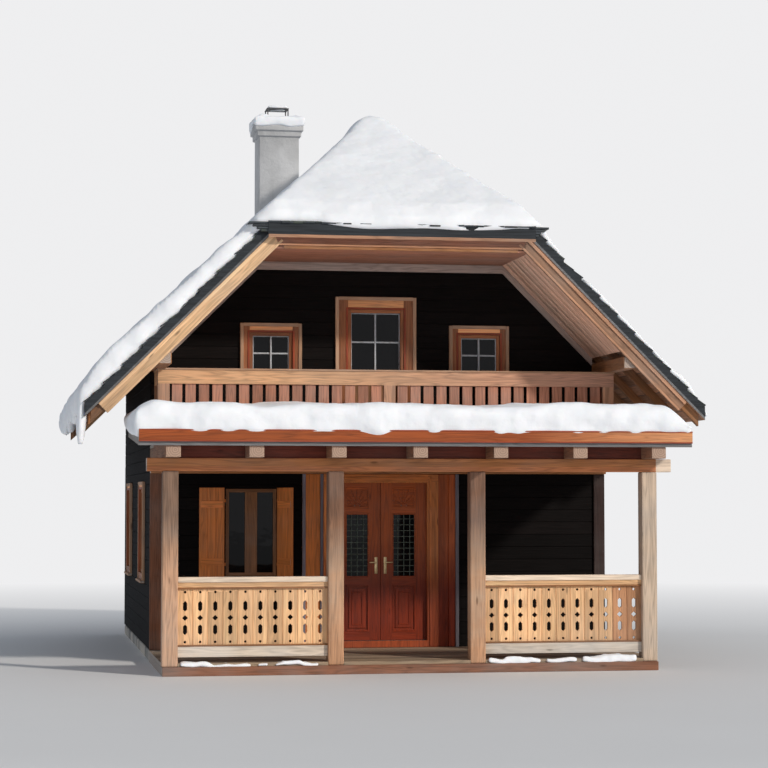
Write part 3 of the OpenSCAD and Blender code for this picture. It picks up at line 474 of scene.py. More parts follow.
def finish(name):
    """The material of that name, made once."""
    if name not in FINISHES:
        user = bpy.context.scene.chalet_colours
        if name in WOODS:
            label, tint, *settings = WOODS[name]
            more = settings.pop() if isinstance(settings[-1], dict) else {}
            FINISHES[name] = timber(label, tint or getattr(user, name), *settings, **more)
        else:
            FINISHES[name] = metal_finish(*METALS[name]) if name in METALS else OTHERS[name](user)
    return FINISHES[name]


def islands(bm):
    """Groups of faces that hang together."""
    left, groups = set(bm.faces), []
    for start in bm.faces:
        if start not in left:
            continue
        left.discard(start)
        group, waiting = [], [start]
        while waiting:
            face = waiting.pop()
            group.append(face)
            for edge in face.edges:
                for other in edge.link_faces:
                    if other in left:
                        left.discard(other)
                        waiting.append(other)
        groups.append(group)
    return groups


def node_copy(*names):
    """The merged mesh of CAD nodes, with its flat faces whole."""
    bm = bmesh.new()
    for name in names:
        bm.from_mesh(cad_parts[name].data)
    bmesh.ops.remove_doubles(bm, verts=bm.verts, dist=2e-5)
    bmesh.ops.dissolve_limit(bm, angle_limit=math.radians(0.4), verts=bm.verts, edges=bm.edges)
    return bm


def sharp_edges(faces, least=0.5):
    """Edges of a body whose faces meet at more than that angle."""
    edges = dict.fromkeys(e for f in faces for e in f.edges)
    return [e for e in edges if e.is_manifold and abs(e.calc_face_angle(0.0)) > least]


def wear(bm, edges, width, segments):
    """Rounds edges."""
    bmesh.ops.bevel(bm, geom=edges, offset=width, offset_type="OFFSET", segments=segments, profile=0.5,
                    affect="EDGES", clamp_overlap=True, material=-1)


def ease(bm, width, segments=1):
    """Rounds the sharp edges of each solid by itself."""
    for edges in [sharp_edges(g) for g in islands(bm)]:
        edges = [e for e in edges if e.is_valid]
        if edges:
            wear(bm, edges, width, segments)
    return bm


def soften(bm, times):
    """Evens out a skin of small faces."""
    for _ in range(times):
        bmesh.ops.smooth_vert(bm, verts=bm.verts, factor=0.5, use_axis_x=True, use_axis_y=True,
                              use_axis_z=True)


def span(side, a, b):
    """Two distances on one side of the middle, the smaller value first."""
    return sorted((side * a, side * b))


def cleave(bm, at, normal, only=None):
    """Splits faces where a plane passes."""
    geom = {}
    for f in bm.faces:
        if only is None or only(f):
            geom.update(dict.fromkeys((f, *f.edges, *f.verts)))
    bmesh.ops.bisect_plane(bm, geom=list(geom), dist=1e-6, plane_no=normal, plane_co=at)


def score(bm, direction, places, only=None):
    """Splits faces square to a direction, so that each part can be a board of its own."""
    for place in places:
        cleave(bm, direction * place, direction, only)
    return bm


def groove(bm, direction, places, width=0.012, depth=0.010, only=None):
    """Cuts V joints square to a direction, at those distances from the origin."""
    direction = Vector(direction).normalized()
    score(bm, direction, [place + step for place in places for step in (-width / 2, 0, width / 2)], only)
    bm.normal_update()
    sunk = []
    for v in bm.verts:
        at = v.co.dot(direction)
        if any(abs(at - place) < 1e-4 for place in places):
            if all(abs(f.normal.dot(direction)) < 0.9 for f in v.link_faces):
                if only is None or any(only(f) for f in v.link_faces):
                    sunk.append((v, v.normal.copy()))
    for v, normal in sunk:
        v.co -= normal * depth


def steps(lo, hi, pitch):
    """Places of the joints between two ends."""
    found, at = [], lo + pitch
    while at < hi - pitch * 0.3:
        found.append(at)
        at += pitch
    return found


def lay_grain(bm, along=None, rows=None, seed=1, lot=(0.0, 1.0), mixed=0):
    """Runs the grain along each board, and gives each board a tone and a place of its own in the wood.

    Bevelling mixes up the first boards laid on a body, so that many are put in order again, the largest
    first and then from the top down.
    """
    def rank(group):
        spots = [f.calc_center_median() for f in group]
        return (-len(group), sum(spot.x * 0.1 - spot.z for spot in spots) / len(spots))
    uv = bm.loops.layers.uv.new("grain")
    tone = bm.faces.layers.float.new("tone")
    cut = bm.faces.layers.float.new("cut")
    bm.normal_update()
    groups = islands(bm)
    groups[:mixed] = sorted(groups[:mixed], key=rank)
    for number, group in enumerate(groups):
        fixed = along
        if along is None:
            corners = [v.co for f in group for v in f.verts]
            size = [max(c[i] for c in corners) - min(c[i] for c in corners) for i in range(3)]
            fixed = (X, Y, Z)[size.index(max(size))]
        for f in group:
            middle = f.calc_center_median()
            d = fixed(middle, f.normal) if callable(fixed) else fixed
            key = (seed, number)
            if rows is not None:
                key += rows(middle, f.normal)
            pick = random.Random(repr(key))
            f[tone] = lot[0] + (lot[1] - lot[0]) * pick.random()
            shift = Vector((pick.uniform(0, 60), pick.uniform(0, 60)))
            if abs(f.normal.dot(d)) > 0.8:
                f[cut] = 1.0
                a = f.normal.orthogonal().normalized()
                b = f.normal.cross(a)
                for loop in f.loops:
                    p = loop.vert.co - middle
                    loop[uv].uv = (p.dot(a) + 0.03, p.dot(b))
            else:
                f[cut] = 0.0
                side = f.normal.cross(d).normalized()
                for loop in f.loops:
                    loop[uv].uv = Vector((loop.vert.co.dot(d), loop.vert.co.dot(side))) + shift
    return bm


def put(bm, name, slot, looks, *replaced, body="house", smooth=None, choose=None):
    """Makes the piece: its mesh, finishes, body and the CAD nodes that it stands for."""
    bm.normal_update()
    if choose:
        for f in bm.faces:
            f.material_index = choose(f.calc_center_median(), f.normal)
    mesh = bpy.data.meshes.new(name)
    bm.to_mesh(mesh)
    bm.free()
    for look in (looks,) if isinstance(looks, str) else looks:
        mesh.materials.append(finish(look))
    if smooth is not None:
        mesh.polygons.foreach_set("use_smooth", [True] * len(mesh.polygons))
        mesh.set_sharp_from_angle(angle=math.radians(smooth))
    piece = bpy.data.objects.new(name, mesh)
    bpy.context.scene.collection.objects.link(piece)
    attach(piece, body)
    if replaced:
        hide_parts(*replaced)


def coat(node, material):
    """Gives a carried CAD node its material."""
    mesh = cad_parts[node].data
    mesh.materials.clear()
    mesh.materials.append(finish(material))


class Bench:
    """A mesh in the making, with a place for what is laid on it next."""

    def __init__(self, bm=None):
        self.bm = bmesh.new() if bm is None else bm
        self.place = Matrix()

    def board(self, lo, hi, arris=0.003, segments=1):
        """A board between two corners, with worn edges."""
        lo, hi = Vector(lo), Vector(hi)
        matrix = self.place @ Matrix.Translation((lo + hi) / 2) @ Matrix.Diagonal((*(hi - lo), 1))
        verts = bmesh.ops.create_cube(self.bm, size=1.0, matrix=matrix)["verts"]
        if arris:
            wear(self.bm, list(dict.fromkeys(e for v in verts for e in v.link_edges)), arris, segments)

    def frame(self, x0, x1, z0, z1, border, y0, y1, arris=0.003):
        """Two uprights with two rails between them, from depth y0 to y1."""
        y0, y1 = sorted((y0, y1))
        for a, b in ((x0, x0 + border), (x1 - border, x1)):
            self.board((a, y0, z0), (b, y1, z1), arris)
        for a, b in ((z0, z0 + border), (z1 - border, z1)):
            self.board((x0 + border - arris, y0 + 0.0006, a), (x1 - border + arris, y1 - 0.0006, b), arris)

    def cone(self, place, segments, foot, head, depth):
        """A round peg that points forwards."""
        bmesh.ops.create_cone(self.bm, cap_ends=True, segments=segments, radius1=foot, radius2=head,
                              depth=depth,
                              matrix=Matrix.Translation(place) @ Matrix.Rotation(math.pi / 2, 4, "X"))


class OBJECT_OT_chalet_stage(bpy.types.Operator):
    """Lays the pale floor, and sets the soft light and the camera"""
    bl_idname = "chalet.stage"
    bl_label = "Stage"

    def execute(self, context):
        scene = context.scene
        bm = bmesh.new()
        bmesh.ops.create_circle(bm, cap_ends=True, segments=96, radius=90.0)
        mesh = bpy.data.meshes.new("floor")
        bm.to_mesh(mesh)
        bm.free()
        floor = bpy.data.objects.new("floor", mesh)
        scene.collection.objects.link(floor)
        p = Paint("pale_floor")
        place = p.place()
        reach = p.add("VectorMath", {0: place}, operation="LENGTH").outputs["Value"]
        pale = p.mix(p.cloud(place, 0.3, 3.0), (0.74, 0.74, 0.74), (0.78, 0.78, 0.78))
        p.set(Base_Color=pale, Roughness=0.9)
        light = p.add("Emission", {"Color": (0.86, 0.86, 0.87, 1), "Strength": 1.0})
        far = p.times(p.add("LightPath").outputs["Is Camera Ray"], p.reach(reach, 9.0, 30.0))
        bounce = p.add("Emission", {"Color": (0.95, 0.97, 1.0, 1), "Strength": 0.9})
        under = p.add("MixShader", {0: p.times(p.add("LightPath").outputs["Is Diffuse Ray"], 0.5),
                                    1: p.shader.outputs[0], 2: bounce.outputs[0]})
        blend = p.add("MixShader", {0: far, 1: under.outputs[0], 2: light.outputs[0]})
        p.tree.links.new(blend.outputs[0], p.out.inputs[0])
        mesh.materials.append(p.material)

        world = bpy.data.worlds.new("studio")
        scene.world = world
        world.use_nodes = True
        nodes, links = world.node_tree.nodes, world.node_tree.links
        nodes.clear()
        out = nodes.new("ShaderNodeOutputWorld")
        path = nodes.new("ShaderNodeLightPath")
        blend = nodes.new("ShaderNodeMixShader")
        links.new(path.outputs["Is Camera Ray"], blend.inputs[0])
        for spot, tint, strength in ((1, (0.80, 0.88, 1.0, 1), 0.36), (2, (0.86, 0.86, 0.87, 1), 1.0)):
            light = nodes.new("ShaderNodeBackground")
            light.inputs[0].default_value = tint
            light.inputs[1].default_value = strength
            links.new(light.outputs[0], blend.inputs[spot])
        links.new(blend.outputs[0], out.inputs[0])

        for name, place, aim, energy, angle, tint in (
                ("key_sun", (16, -15, 14), (0, 3, 2), 2.35, 4, (1.0, 0.94, 0.86)),
                ("fill_sun", (-2, -18, 3), (0, 3, 2), 0.30, 50, (1.0, 0.96, 0.92)),
                ("back_sun", (2, 16, 9), (0, 3, 3), 0.18, 60, (0.8, 0.9, 1.0))):
            lamp = bpy.data.lights.new(name, "SUN")
            lamp.energy = energy
            lamp.angle = math.radians(angle)
            lamp.color = tint
            holder = bpy.data.objects.new(name, lamp)
            holder.location = place
            holder.rotation_euler = (Vector(aim) - Vector(place)).to_track_quat("-Z", "Y").to_euler()
            scene.collection.objects.link(holder)

        camera = bpy.data.cameras.new("camera")
        camera.sensor_width = 36.0
        camera.lens = 104.0
        camera.clip_start, camera.clip_end = 0.5, 300.0
        holder = bpy.data.objects.new("camera", camera)
        holder.location = (-4.91, -26.57, 2.11)
        aim = Vector((0.0, 2.2, 3.62))
        holder.rotation_euler = (aim - holder.location).to_track_quat("-Z", "Y").to_euler()
        scene.collection.objects.link(holder)
        scene.camera = holder
        scene.view_settings.view_transform = "Standard"
        return {"FINISHED"}


def wall_rows(pitch):
    """Number of a wall board by its height, with the faces that look sideways apart."""
    def rows(middle, normal):
        return (math.floor((middle.z - WALL_FOOT) / pitch), 0 if abs(normal.x) > 0.5 else 1)
    return rows


class OBJECT_OT_chalet_walls(bpy.types.Operator):
    """Boards the walls and the gables, and covers the corners"""
    bl_idname = "chalet.walls"
    bl_label = "Walls"

    def execute(self, context):
        sizes = context.scene.chalet_sizes
        pitch = sizes.wall_board
        for name in ("front_wall_left", "front_wall_right", "front_wall_over_door", "left_wall", "right_wall",
                     "back_wall", "gable_front", "gable_back"):
            bm = ease(node_copy(name), sizes.arris)
            lo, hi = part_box(name)
            places = [z for z in steps(WALL_FOOT, hi.z, pitch) if z > lo.z + 0.03]
            groove(bm, Z, places, sizes.joint, 0.008)
            lay_grain(bm, Y if name in ("left_wall", "right_wall") else X, wall_rows(pitch), name)
            put(bm, name + "_boards", "dark_timber", "dark_timber", name)
        bm = lay_grain(ease(node_copy("corner_boards"), 0.006), Z, None, 5)
        # The right and back corner boards take the near-black finish, painted shade; the front left ones keep
        # the brown cover finish
        put(bm, "corner_covers", "brown_boards", ("cover_timber", "corner_painted_shade"), "corner_boards",
            choose=lambda c, n: 1 if c.x > 0 or c.y > MIDDLE_Y else 0)
        coat("plinth", "stone")
        self.stones()
        return {"FINISHED"}

    def stones(self):
        """A row of field stones round the plinth."""
        bench = Bench()
        pick = random.Random(11)
        lo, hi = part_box("plinth")
        centre = Vector(((lo.x + hi.x) / 2, (lo.y + hi.y) / 2, 0))
        for side in range(4):
            run, depth = (hi.x - lo.x, hi.y - lo.y) if side % 2 == 0 else (hi.y - lo.y, hi.x - lo.x)
            turn = Matrix.Translation(centre) @ Matrix.Rotation(side * math.pi / 2, 4, "Z")
            at = -run / 2
            while at < run / 2 - 0.05:
                wide = min(pick.uniform(0.16, 0.42), run / 2 - at)
                bench.place = turn @ Matrix.Translation((at + wide / 2, -depth / 2, 0))
                first = len(bench.bm.verts)
                half = wide / 2 - 0.008
                bench.board((-half, -0.018, 0.0), (half, 0.05, hi.z - 0.004), 0.022, 2)
                for v in list(bench.bm.verts)[first:]:
                    v.co += 0.008 * noise.noise_vector(v.co * 9.0)
                    v.co.z = min(max(v.co.z, 0.0), hi.z)
                at += wide
        put(lay_grain(bench.bm, X, None, 17), "plinth_stones", "stone", "stone", smooth=50)


def roof_grain(middle, normal):
    """Direction of the grain on the roof's frame timbers: down the slope they lie in."""
    near_verge = middle.y < VERGE_FRONT + 0.25 or middle.y > VERGE_BACK - 0.25
    if near_verge and abs(middle.x) < 1.7 and middle.z < RIDGE_Z - 1.6:
        return X
    for inward, down in ((APEX_FRONT - middle.y, DOWN_FRONT), (middle.y - APEX_BACK, DOWN_BACK)):
        if inward > 0 and abs(middle.x) < inward * MITRE - 0.1:
            return down
    return DOWN_RIGHT if middle.x > 0 else DOWN_LEFT


def verge_leg(middle):
    """A verge's part, split at its mitres: -1 for the left slope, 0 for the level part, 1 for the right."""
    out = (abs(middle.x) - HIP_DROP) * math.cos(PITCH / 2)
    if out - (middle.z - RIDGE_Z + HIP_DROP) * math.sin(PITCH / 2) < 0:
        return 0
    return 1 if middle.x > 0 else -1


def leg_place(side, y):
    """Place with its origin at a verge's mitre, X along the slope and Z square to it."""
    along = DOWN_RIGHT if side > 0 else -DOWN_LEFT
    turn = Matrix((along, Y, along.cross(Y))).transposed().to_4x4()
    return Matrix.Translation((side * HIP_DROP, y, RIDGE_Z - HIP_DROP)) @ turn


class OBJECT_OT_chalet_roof_frame(bpy.types.Operator):
    """Dresses the purlins, rafters, roof boards, verge boards, soffits and trims"""
    bl_idname = "chalet.roof_frame"
    bl_label = "Roof timbers"
    left_reach = 0.10

    def execute(self, context):
        sizes = context.scene.chalet_sizes
        bm = lay_grain(ease(node_copy("purlins"), 0.010), Y, None, 21, (0.1, 0.9))
        put(bm, "purlin_timbers", "brown_boards", "brown_boards", "purlins")
        bm = lay_grain(ease(node_copy("rafters"), 0.004), roof_grain, None, 22)
        put(bm, "rafter_timbers", "brown_boards", "brown_boards", "rafters")

        bm = node_copy("roof_boards")
        for side, down in ((1, DOWN_RIGHT), (-1, DOWN_LEFT)):
            def on_slope(f, side=side):
                c = f.calc_center_median()
                inside = COVER_FRONT - 0.05 < c.y < COVER_BACK + 0.05
                on_hip = abs(f.normal.y) > 0.2 and abs(f.normal.x) < 0.2
                return c.x * side > 0 and inside and not on_hip
            lo = Vector((0, 0, RIDGE_Z)).dot(down)
            hi = Vector((EAVE_HALF, 0, RIDGE_Z - EAVE_HALF)).dot(DOWN_RIGHT)
            groove(bm, down, steps(lo, hi, sizes.roof_board), sizes.joint, 0.008, on_slope)

        def board_rows(middle, normal):
            if abs(normal.y) > 0.3:
                return ("hip", math.floor((RIDGE_Z - middle.z) / 0.11))
            down = DOWN_RIGHT if middle.x > 0 else DOWN_LEFT
            return (math.floor(middle.dot(down) / sizes.roof_board), middle.x > 0)

        def board_look(c, n):
            end = abs(c.x) > HIP_DROP and (abs(n.y) > 0.9 or abs(n.x) > 0.9)
            return 1 if end or n.z > 0.3 else 0
        lay_grain(bm, lambda c, n: X if abs(n.y) > 0.3 and abs(n.x) < 0.3 else Y, board_rows, 23)
        put(bm, "roof_boarding", "brown_boards", ("tan_boards", "roof_edge"), "roof_boards",
            choose=board_look)

        self.verges()
        return {"FINISHED"}

    def verges(self):
        """Verge boards with their strips, the soffits behind them and the trims on the walls."""
        def leg_grain(middle, normal):
            return (DOWN_LEFT, X, DOWN_RIGHT)[verge_leg(middle) + 1]

        def leg_rows(middle, normal):
            return (verge_leg(middle), middle.y > MIDDLE_Y)

        def leg_look(middle, normal):
            return verge_leg(middle) + 1

        def flat_leg(middle):
            return 0 if abs(middle.x) < SOFFIT_HALF else (1 if middle.x > 0 else -1)

        def flat_grain(middle, normal):
            return (DOWN_LEFT, X, DOWN_RIGHT)[flat_leg(middle) + 1]

        looks = ("honey_timber", "rose_boards", "verge_timber")
        bm = ease(node_copy("verge_boards"), 0.006)
        for v in bm.verts:
            if v.co.x < -3.5:
                v.co += DOWN_LEFT * self.left_reach
        for side in (-1, 1):
            cleave(bm, Vector((side * HIP_DROP, 0, RIDGE_Z - HIP_DROP)),
                   Vector((side * math.cos(PITCH / 2), 0, -math.sin(PITCH / 2))))
        lay_grain(bm, leg_grain, leg_rows, 24, (0.45, 0.75))
        put(bm, "verge_timbers", "pale_timber", looks, "verge_boards", choose=leg_look)

        bench = Bench()
        leg = (VERGE_FOOT - HIP_DROP) * math.sqrt(2)
        flat = RIDGE_Z - HIP_DROP
        slope_strips = ((-0.050, -0.002, 0.018), (0.002 - VERGE_DEPTH, 0.030 - VERGE_DEPTH, 0.011))
        level_strips = ((-0.048, -0.002, 0.017, HIP_DROP), (-0.163, -0.138, 0.010, HIP_DROP - 0.07))
        for y, out in ((VERGE_FRONT, -1), (VERGE_BACK, 1)):
            for side in (-1, 1):
                bench.place = leg_place(side, y)
                x0, x1 = (-0.012, leg - 0.004) if side > 0 else (0.004 - leg - self.left_reach, 0.012)
                for z0, z1, thick in slope_strips:
                    y0, y1 = span(out, thick, -0.002)
                    bench.board((x0, y0, z0), (x1, y1, z1), 0.004, 2)
            bench.place = Matrix.Translation((0, y, flat))
            for z0, z1, thick, half in level_strips:
                y0, y1 = span(out, thick, -0.002)
                bench.board((-half, y0, z0), (half, y1, z1), 0.004, 2)
            y0, y1 = span(out, -0.008, -0.029)
            bench.board((-1.50, y0, -0.205), (1.50, y1, -0.150), 0.004, 2)
        lay_grain(bench.bm, leg_grain, leg_rows, 27, (0.7, 1.0))
        put(bench.bm, "verge_strips", "pale_timber",
            ("honey_timber", "level_timber", "tan_boards", "brown_boards"),
            choose=lambda c, n: 3 if c.z < flat - 0.166 and abs(c.x) < 1.51 else leg_look(c, n))

        bm = node_copy("verge_soffits")
        score(bm, X, (-SOFFIT_HALF, SOFFIT_HALF))
        ys = steps(VERGE_FRONT, FRONT_Y, SOFFIT_BOARD) + steps(BACK_Y, VERGE_BACK, SOFFIT_BOARD)
        groove(bm, Y, ys, 0.014, 0.008)
        lay_grain(bm, flat_grain, lambda c, n: (math.floor((c.y - VERGE_FRONT) / SOFFIT_BOARD), flat_leg(c)),
                  25, (0.6, 1.0))
        # The slopes' soffits take the very pale finish, painted light from below on boards that lie in shade
        put(bm, "soffit_boards", "brown_boards", ("soffit_painted_light", "rose_boards", "soffit_painted_light"),
            "verge_soffits", choose=lambda c, n: flat_leg(c) + 1)
        bm = ease(node_copy("gable_trims"), 0.006)
        score(bm, X, (-SOFFIT_HALF, SOFFIT_HALF))
        lay_grain(bm, flat_grain, lambda c, n: (flat_leg(c), c.y > MIDDLE_Y), 26, (0.5, 0.9))
        put(bm, "trim_boards", "grey_timber", "trim_timber", "gable_trims")


class OBJECT_OT_chalet_shingles(bpy.types.Operator):
    """Lays single shingles over the four roof faces"""
    bl_idname = "chalet.shingles"
    bl_label = "Shingles"

    def execute(self, context):
        for node in ("shingles_left", "shingles_right", "hip_shingles"):
            coat(node, "shingle_layers")
        usual = context.scene.chalet_sizes.shingle
        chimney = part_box("chimney")

        def main_half(run):
            return max(COVER_FRONT, APEX_FRONT - run / MITRE), min(COVER_BACK, APEX_BACK + run / MITRE)

        def hip_half(run):
            return -run * MITRE, run * MITRE

        for side, name, down in ((-1, "left_shingles", DOWN_LEFT), (1, "right_shingles", DOWN_RIGHT)):
            bench = Bench()
            self.face(bench.bm, Vector((0, 0, RIDGE_Z + ROOF_BOARD)), Vector((side, 0, 0)), Y, PITCH,
                      EAVE_HALF, MAIN_COURSES, main_half, usual, 31 + side, chimney)
            put(lay_grain(bench.bm, down, None, name), name, "shingles", "shingles")
        bench = Bench()
        for apex, way, tip in ((APEX_FRONT, -1, HIP_FRONT), (APEX_BACK, 1, HIP_BACK)):
            self.face(bench.bm, Vector((0, apex, RIDGE_Z + ROOF_BOARD)), Vector((0, way, 0)), X, HIP_PITCH,
                      abs(apex - tip), HIP_COURSES, hip_half, usual, 41 + way, None)
            self.tips(bench, tip, way)
        put(lay_grain(bench.bm, lambda c, n: DOWN_FRONT if c.y < MIDDLE_Y else DOWN_BACK, None, 43),
            "hip_covering", "shingles", "shingles")
        return {"FINISHED"}

    def tips(self, bench, tip, way):
        """The ends of a hip's eave, which lie on the main slopes' covering."""
        half = HIP_DROP + abs(tip - (VERGE_FRONT if way < 0 else VERGE_BACK)) * MITRE
        top = RIDGE_Z + ROOF_BOARD + COURSE_HI - half
        for side, reach in ((-1, 0.24), (1, 0.17)):
            for layer in range(4):
                z = top - 0.105 + layer * 0.031
                out = reach - 0.05 * (3 - layer)
                x0, x1 = span(side, half - 0.10, half + max(out, 0.04))
                y0, y1 = sorted((tip - way * 0.004 * (4 - layer), tip - way * (0.30 + 0.02 * layer)))
                bench.board((x0, y0, z), (x1, y1, z + 0.026), 0.003)

    def face(self, bm, head, out, along, pitch, run, count, half, usual, seed, hole):
        """Two rows of shingles on each course of one roof face."""
        pick = random.Random(seed)
        down = out * math.cos(pitch) - Z * math.sin(pitch)
        up = out * math.sin(pitch) + Z * math.cos(pitch)
        turn = Matrix((along, down, up)).transposed()
        for course in range(count):
            ends = []
            for r, t in ((run * course / count, COURSE_LO), (run * (course + 1) / count, COURSE_HI)):
                ends.append((r / math.cos(pitch) - t * math.sin(pitch), t * math.cos(pitch)))
            (s0, n0), (s1, n1) = ends
            for row in (0, 1):
                a, b = (s0 + (s1 - s0) * (row + step) / 2 for step in (0, 1))
                na, nb = (n0 + (n1 - n0) * (row + step) / 2 for step in (0, 1))
                lo, hi = half(run * (course + (row + 1) / 2) / count)
                at = lo
                while at < hi - 0.03:
                    wide = min(usual * pick.uniform(0.6, 1.5), hi - at)
                    butt = b + 0.012 + pick.uniform(-0.012, 0.012)
                    lift = pick.uniform(0.0, 0.006)
                    centre = head + along * (at + wide / 2 - head.dot(along))
                    spot = centre + down * ((a + b) / 2) + up * nb
                    at += wide
                    if hole and hole[0].x < spot.x < hole[1].x and hole[0].y < spot.y < hole[1].y:
                        continue
                    verts = bmesh.ops.create_cube(bm, size=1.0)["verts"]
                    for v in verts:
                        lower = v.co.y > 0
                        thick = 0.017 if lower else 0.006
                        base = (nb + 0.003 + lift) if lower else na - 0.001
                        local = Vector((v.co.x * (wide - 0.005), butt if lower else a - 0.02,
                                        base + (thick if v.co.z > 0 else 0)))
                        v.co = centre + turn @ local


class OBJECT_OT_chalet_snow(bpy.types.Operator):
    """Heaps settled snow on the roofs, the chimney and the ledges"""
    bl_idname = "chalet.snow"
    bl_label = "Snow"

    def execute(self, context):
        sizes = context.scene.chalet_sizes
        cell = sizes.snow_cell
        swell = sizes.snow_swell

        def heap(co, normal, lump=1.0, ragged=1.0):
            at = co + Vector((13.7, 5.1, 0))
            rise = (noise.noise(at * 0.7) * 0.9 + noise.noise(at * 1.9) * 0.7 + noise.noise(at * 4.3) * 0.35
                    + noise.noise(at * 9.0) * 0.15)
            move = Vector((0, 0, rise * swell * lump * max(0.0, normal.z)))
            side = Vector((normal.x, normal.y, 0))
            if abs(normal.z) < 0.75:
                push = noise.noise(at * 2.3) * 0.6 + noise.noise(at * 5.5) * 0.5
                move += side * push * 0.08 * ragged
            return move

        def fade(value, lo, hi):
            t = max(0.0, min(1.0, (value - lo) / (hi - lo)))
            return t * t * (3 - 2 * t)

        def ridge_heap(co):
            spot = Vector((co.x - 0.12, (co.y - APEX_FRONT - 0.1) * 0.8))
            return 0.10 * math.exp(-(spot.length / 0.45) ** 2)

        def settled(co):
            """Heights near the apex, where the heaps meet, eased to a round top."""
            return 7.30 + (co.z - 7.30) * 0.5 if co.z > 7.30 else co.z

        def left(co, normal):
            move = heap(co, normal, 1.0 + 0.4 * fade(-co.x, 0.4, 1.6))
            if normal.z > 0.2:
                move.z += 0.075 * fade(-co.x, 1.6, 3.2) + ridge_heap(co)
            return move

        def right(co, normal):
            move = heap(co, normal, 1.0 - 0.3 * fade(co.x, 0.4, 1.6))
            patch = noise.noise(Vector((co.x * 0.9, co.y * 0.55, 3.3))) + 0.35 * noise.noise(co * 2.6)
            bare = fade(patch, 0.0, 0.25) * fade(co.y, 1.0, 2.2)
            strip = fade(co.x, 2.02, 2.12) * (1 - fade(co.x, 2.30, 2.55)) * (1 - fade(co.y, 1.4, 2.4))
            bare = max(bare, strip)
            if normal.z > 0.3 and 0.6 < co.x:
                edge = 0.05 * (1 - fade(co.y, 1.0, 1.8)) * (1 - fade(noise.noise(co * 1.3), 0.05, 0.3))
                move.z -= max(bare * 0.17, edge) * min(1.0, (co.x - 0.6) / 0.5)
            if normal.z > 0.2:
                move.z += ridge_heap(co)
            return move

        def hips(co, normal):
            move = heap(co, normal)
            front = co.y < MIDDLE_Y
            reach = (co.y - HIP_FRONT) if front else (HIP_BACK - co.y)
            if reach < 0.09 and normal.z < 0.4:
                hang = fade(co.x, -1.25, -0.5) * (1 - 0.45 * fade(co.x, 1.0, 1.6))
                hang *= 0.8 + 0.5 * noise.noise(co * 1.7)
                low = 1 - fade(co.z, lip_z + 0.02, lip_z + 0.12)
                move.z -= 0.085 * hang * low
                move.y += (-0.035 if front else 0.035) * fade(hang, 0.0, 0.3)
            if normal.z > 0.2:
                move.z += ridge_heap(co) if front else 0.0
            return move

        def roof(co, normal):
            reach = max(APEX_FRONT - co.y, co.y - APEX_BACK)
            if abs(co.x) < reach * MITRE + 0.02:
                return hips(co, normal)
            return left(co, normal) if co.x < 0 else right(co, normal)

        def porch(co, normal):
            move = heap(co, normal, 1.1, 0.8)
            low = fascia_hi.z + max(0.0, co.y - fascia_hi.y) * 0.05
            if co.z > low:
                ends = 0.70 * fade(co.x, 3.00, 3.42) + 0.35 * (1 - fade(co.x, -3.42, -3.15))
                move.z -= (co.z - low) * ends
            elif co.y < fascia_hi.y:
                move.z += (low - co.z) * 0.9 * fade(co.x, 3.0, 3.3)
            move.x -= 0.07 * fade(co.x, 3.25, 3.42)
            return move

        fascia_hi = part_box("porch_fascia")[1]
        lip_z = RIDGE_Z + ROOF_BOARD + COURSE_HI - (APEX_FRONT - HIP_FRONT) * math.tan(HIP_PITCH)
        tongue = Bench()
        eave_z = RIDGE_Z - EAVE_HALF
        for x0, x1, y0, y1, z0, z1 in (
                (-0.10, 0.02, 0.02, 0.34, -0.10, 0.20), (-0.10, -0.01, 0.04, 0.22, -0.24, -0.06),
                (-0.09, -0.02, 0.06, 0.16, -0.38, -0.20), (-0.09, 0.01, 1.6, 2.3, -0.05, 0.10),
                (-0.09, 0.01, 4.1, 4.5, -0.08, 0.10), (-0.09, 0.01, 6.0, 6.9, -0.06, 0.10)):
            tongue.board((-EAVE_HALF + x0, COVER_FRONT + y0, eave_z + z0),
                         (-EAVE_HALF + x1, COVER_FRONT + y1, eave_z + z1), 0.0)
        tips = Bench()
        half = HIP_DROP + (VERGE_FRONT - HIP_FRONT) * MITRE
        for y0, y1 in ((HIP_FRONT + 0.01, HIP_FRONT + 0.32), (HIP_BACK - 0.32, HIP_BACK - 0.01)):
            for side, reach in ((-1, 0.16), (1, 0.13)):
                x0, x1 = span(side, half - 0.15, half + reach)
                tips.board((x0, y0, lip_z - 0.01), (x1, y1, lip_z + 0.07), 0.0)
        for name, nodes, size, move, extras in (
                ("roof_snow", ("snow_left", "snow_right", "snow_hips"), cell * 1.09, roof, (tongue, tips)),
                ("porch_snow", ("snow_porch",), cell * 0.8, porch, ())):
            bm = node_copy(*nodes)
            for extra in extras:
                self.join(bm, extra.bm)
            bm = self.remeshed(bm, size)
            bm.normal_update()
            for v, m in [(v, move(v.co, v.normal)) for v in bm.verts]:
                v.co += m
                v.co.z = settled(v.co)
            soften(bm, 2)
            put(bm, name, "snow", "snow", *nodes, smooth=180)
        self.lumps()
        self.ledges()
        return {"FINISHED"}

    def join(self, bm, other):
        """Adds one mesh in the making to another."""
        mesh = bpy.data.meshes.new("added")
        other.to_mesh(mesh)
        other.free()
        bm.from_mesh(mesh)
        bpy.data.meshes.remove(mesh)

    def remeshed(self, bm, cell):
        """The same body with an even skin of small faces."""
        mesh = bpy.data.meshes.new("rough_body")
        bm.to_mesh(mesh)
        bm.free()
        rough = bpy.data.objects.new("rough_body", mesh)
        bpy.context.scene.collection.objects.link(rough)
        skin = rough.modifiers.new("skin", "REMESH")
        skin.mode = "VOXEL"
        skin.voxel_size = cell
        done = rough.evaluated_get(bpy.context.evaluated_depsgraph_get()).to_mesh()
        bm = bmesh.new()
        bm.from_mesh(done)
        bpy.data.objects.remove(rough)
        bpy.data.meshes.remove(mesh)
        return bm

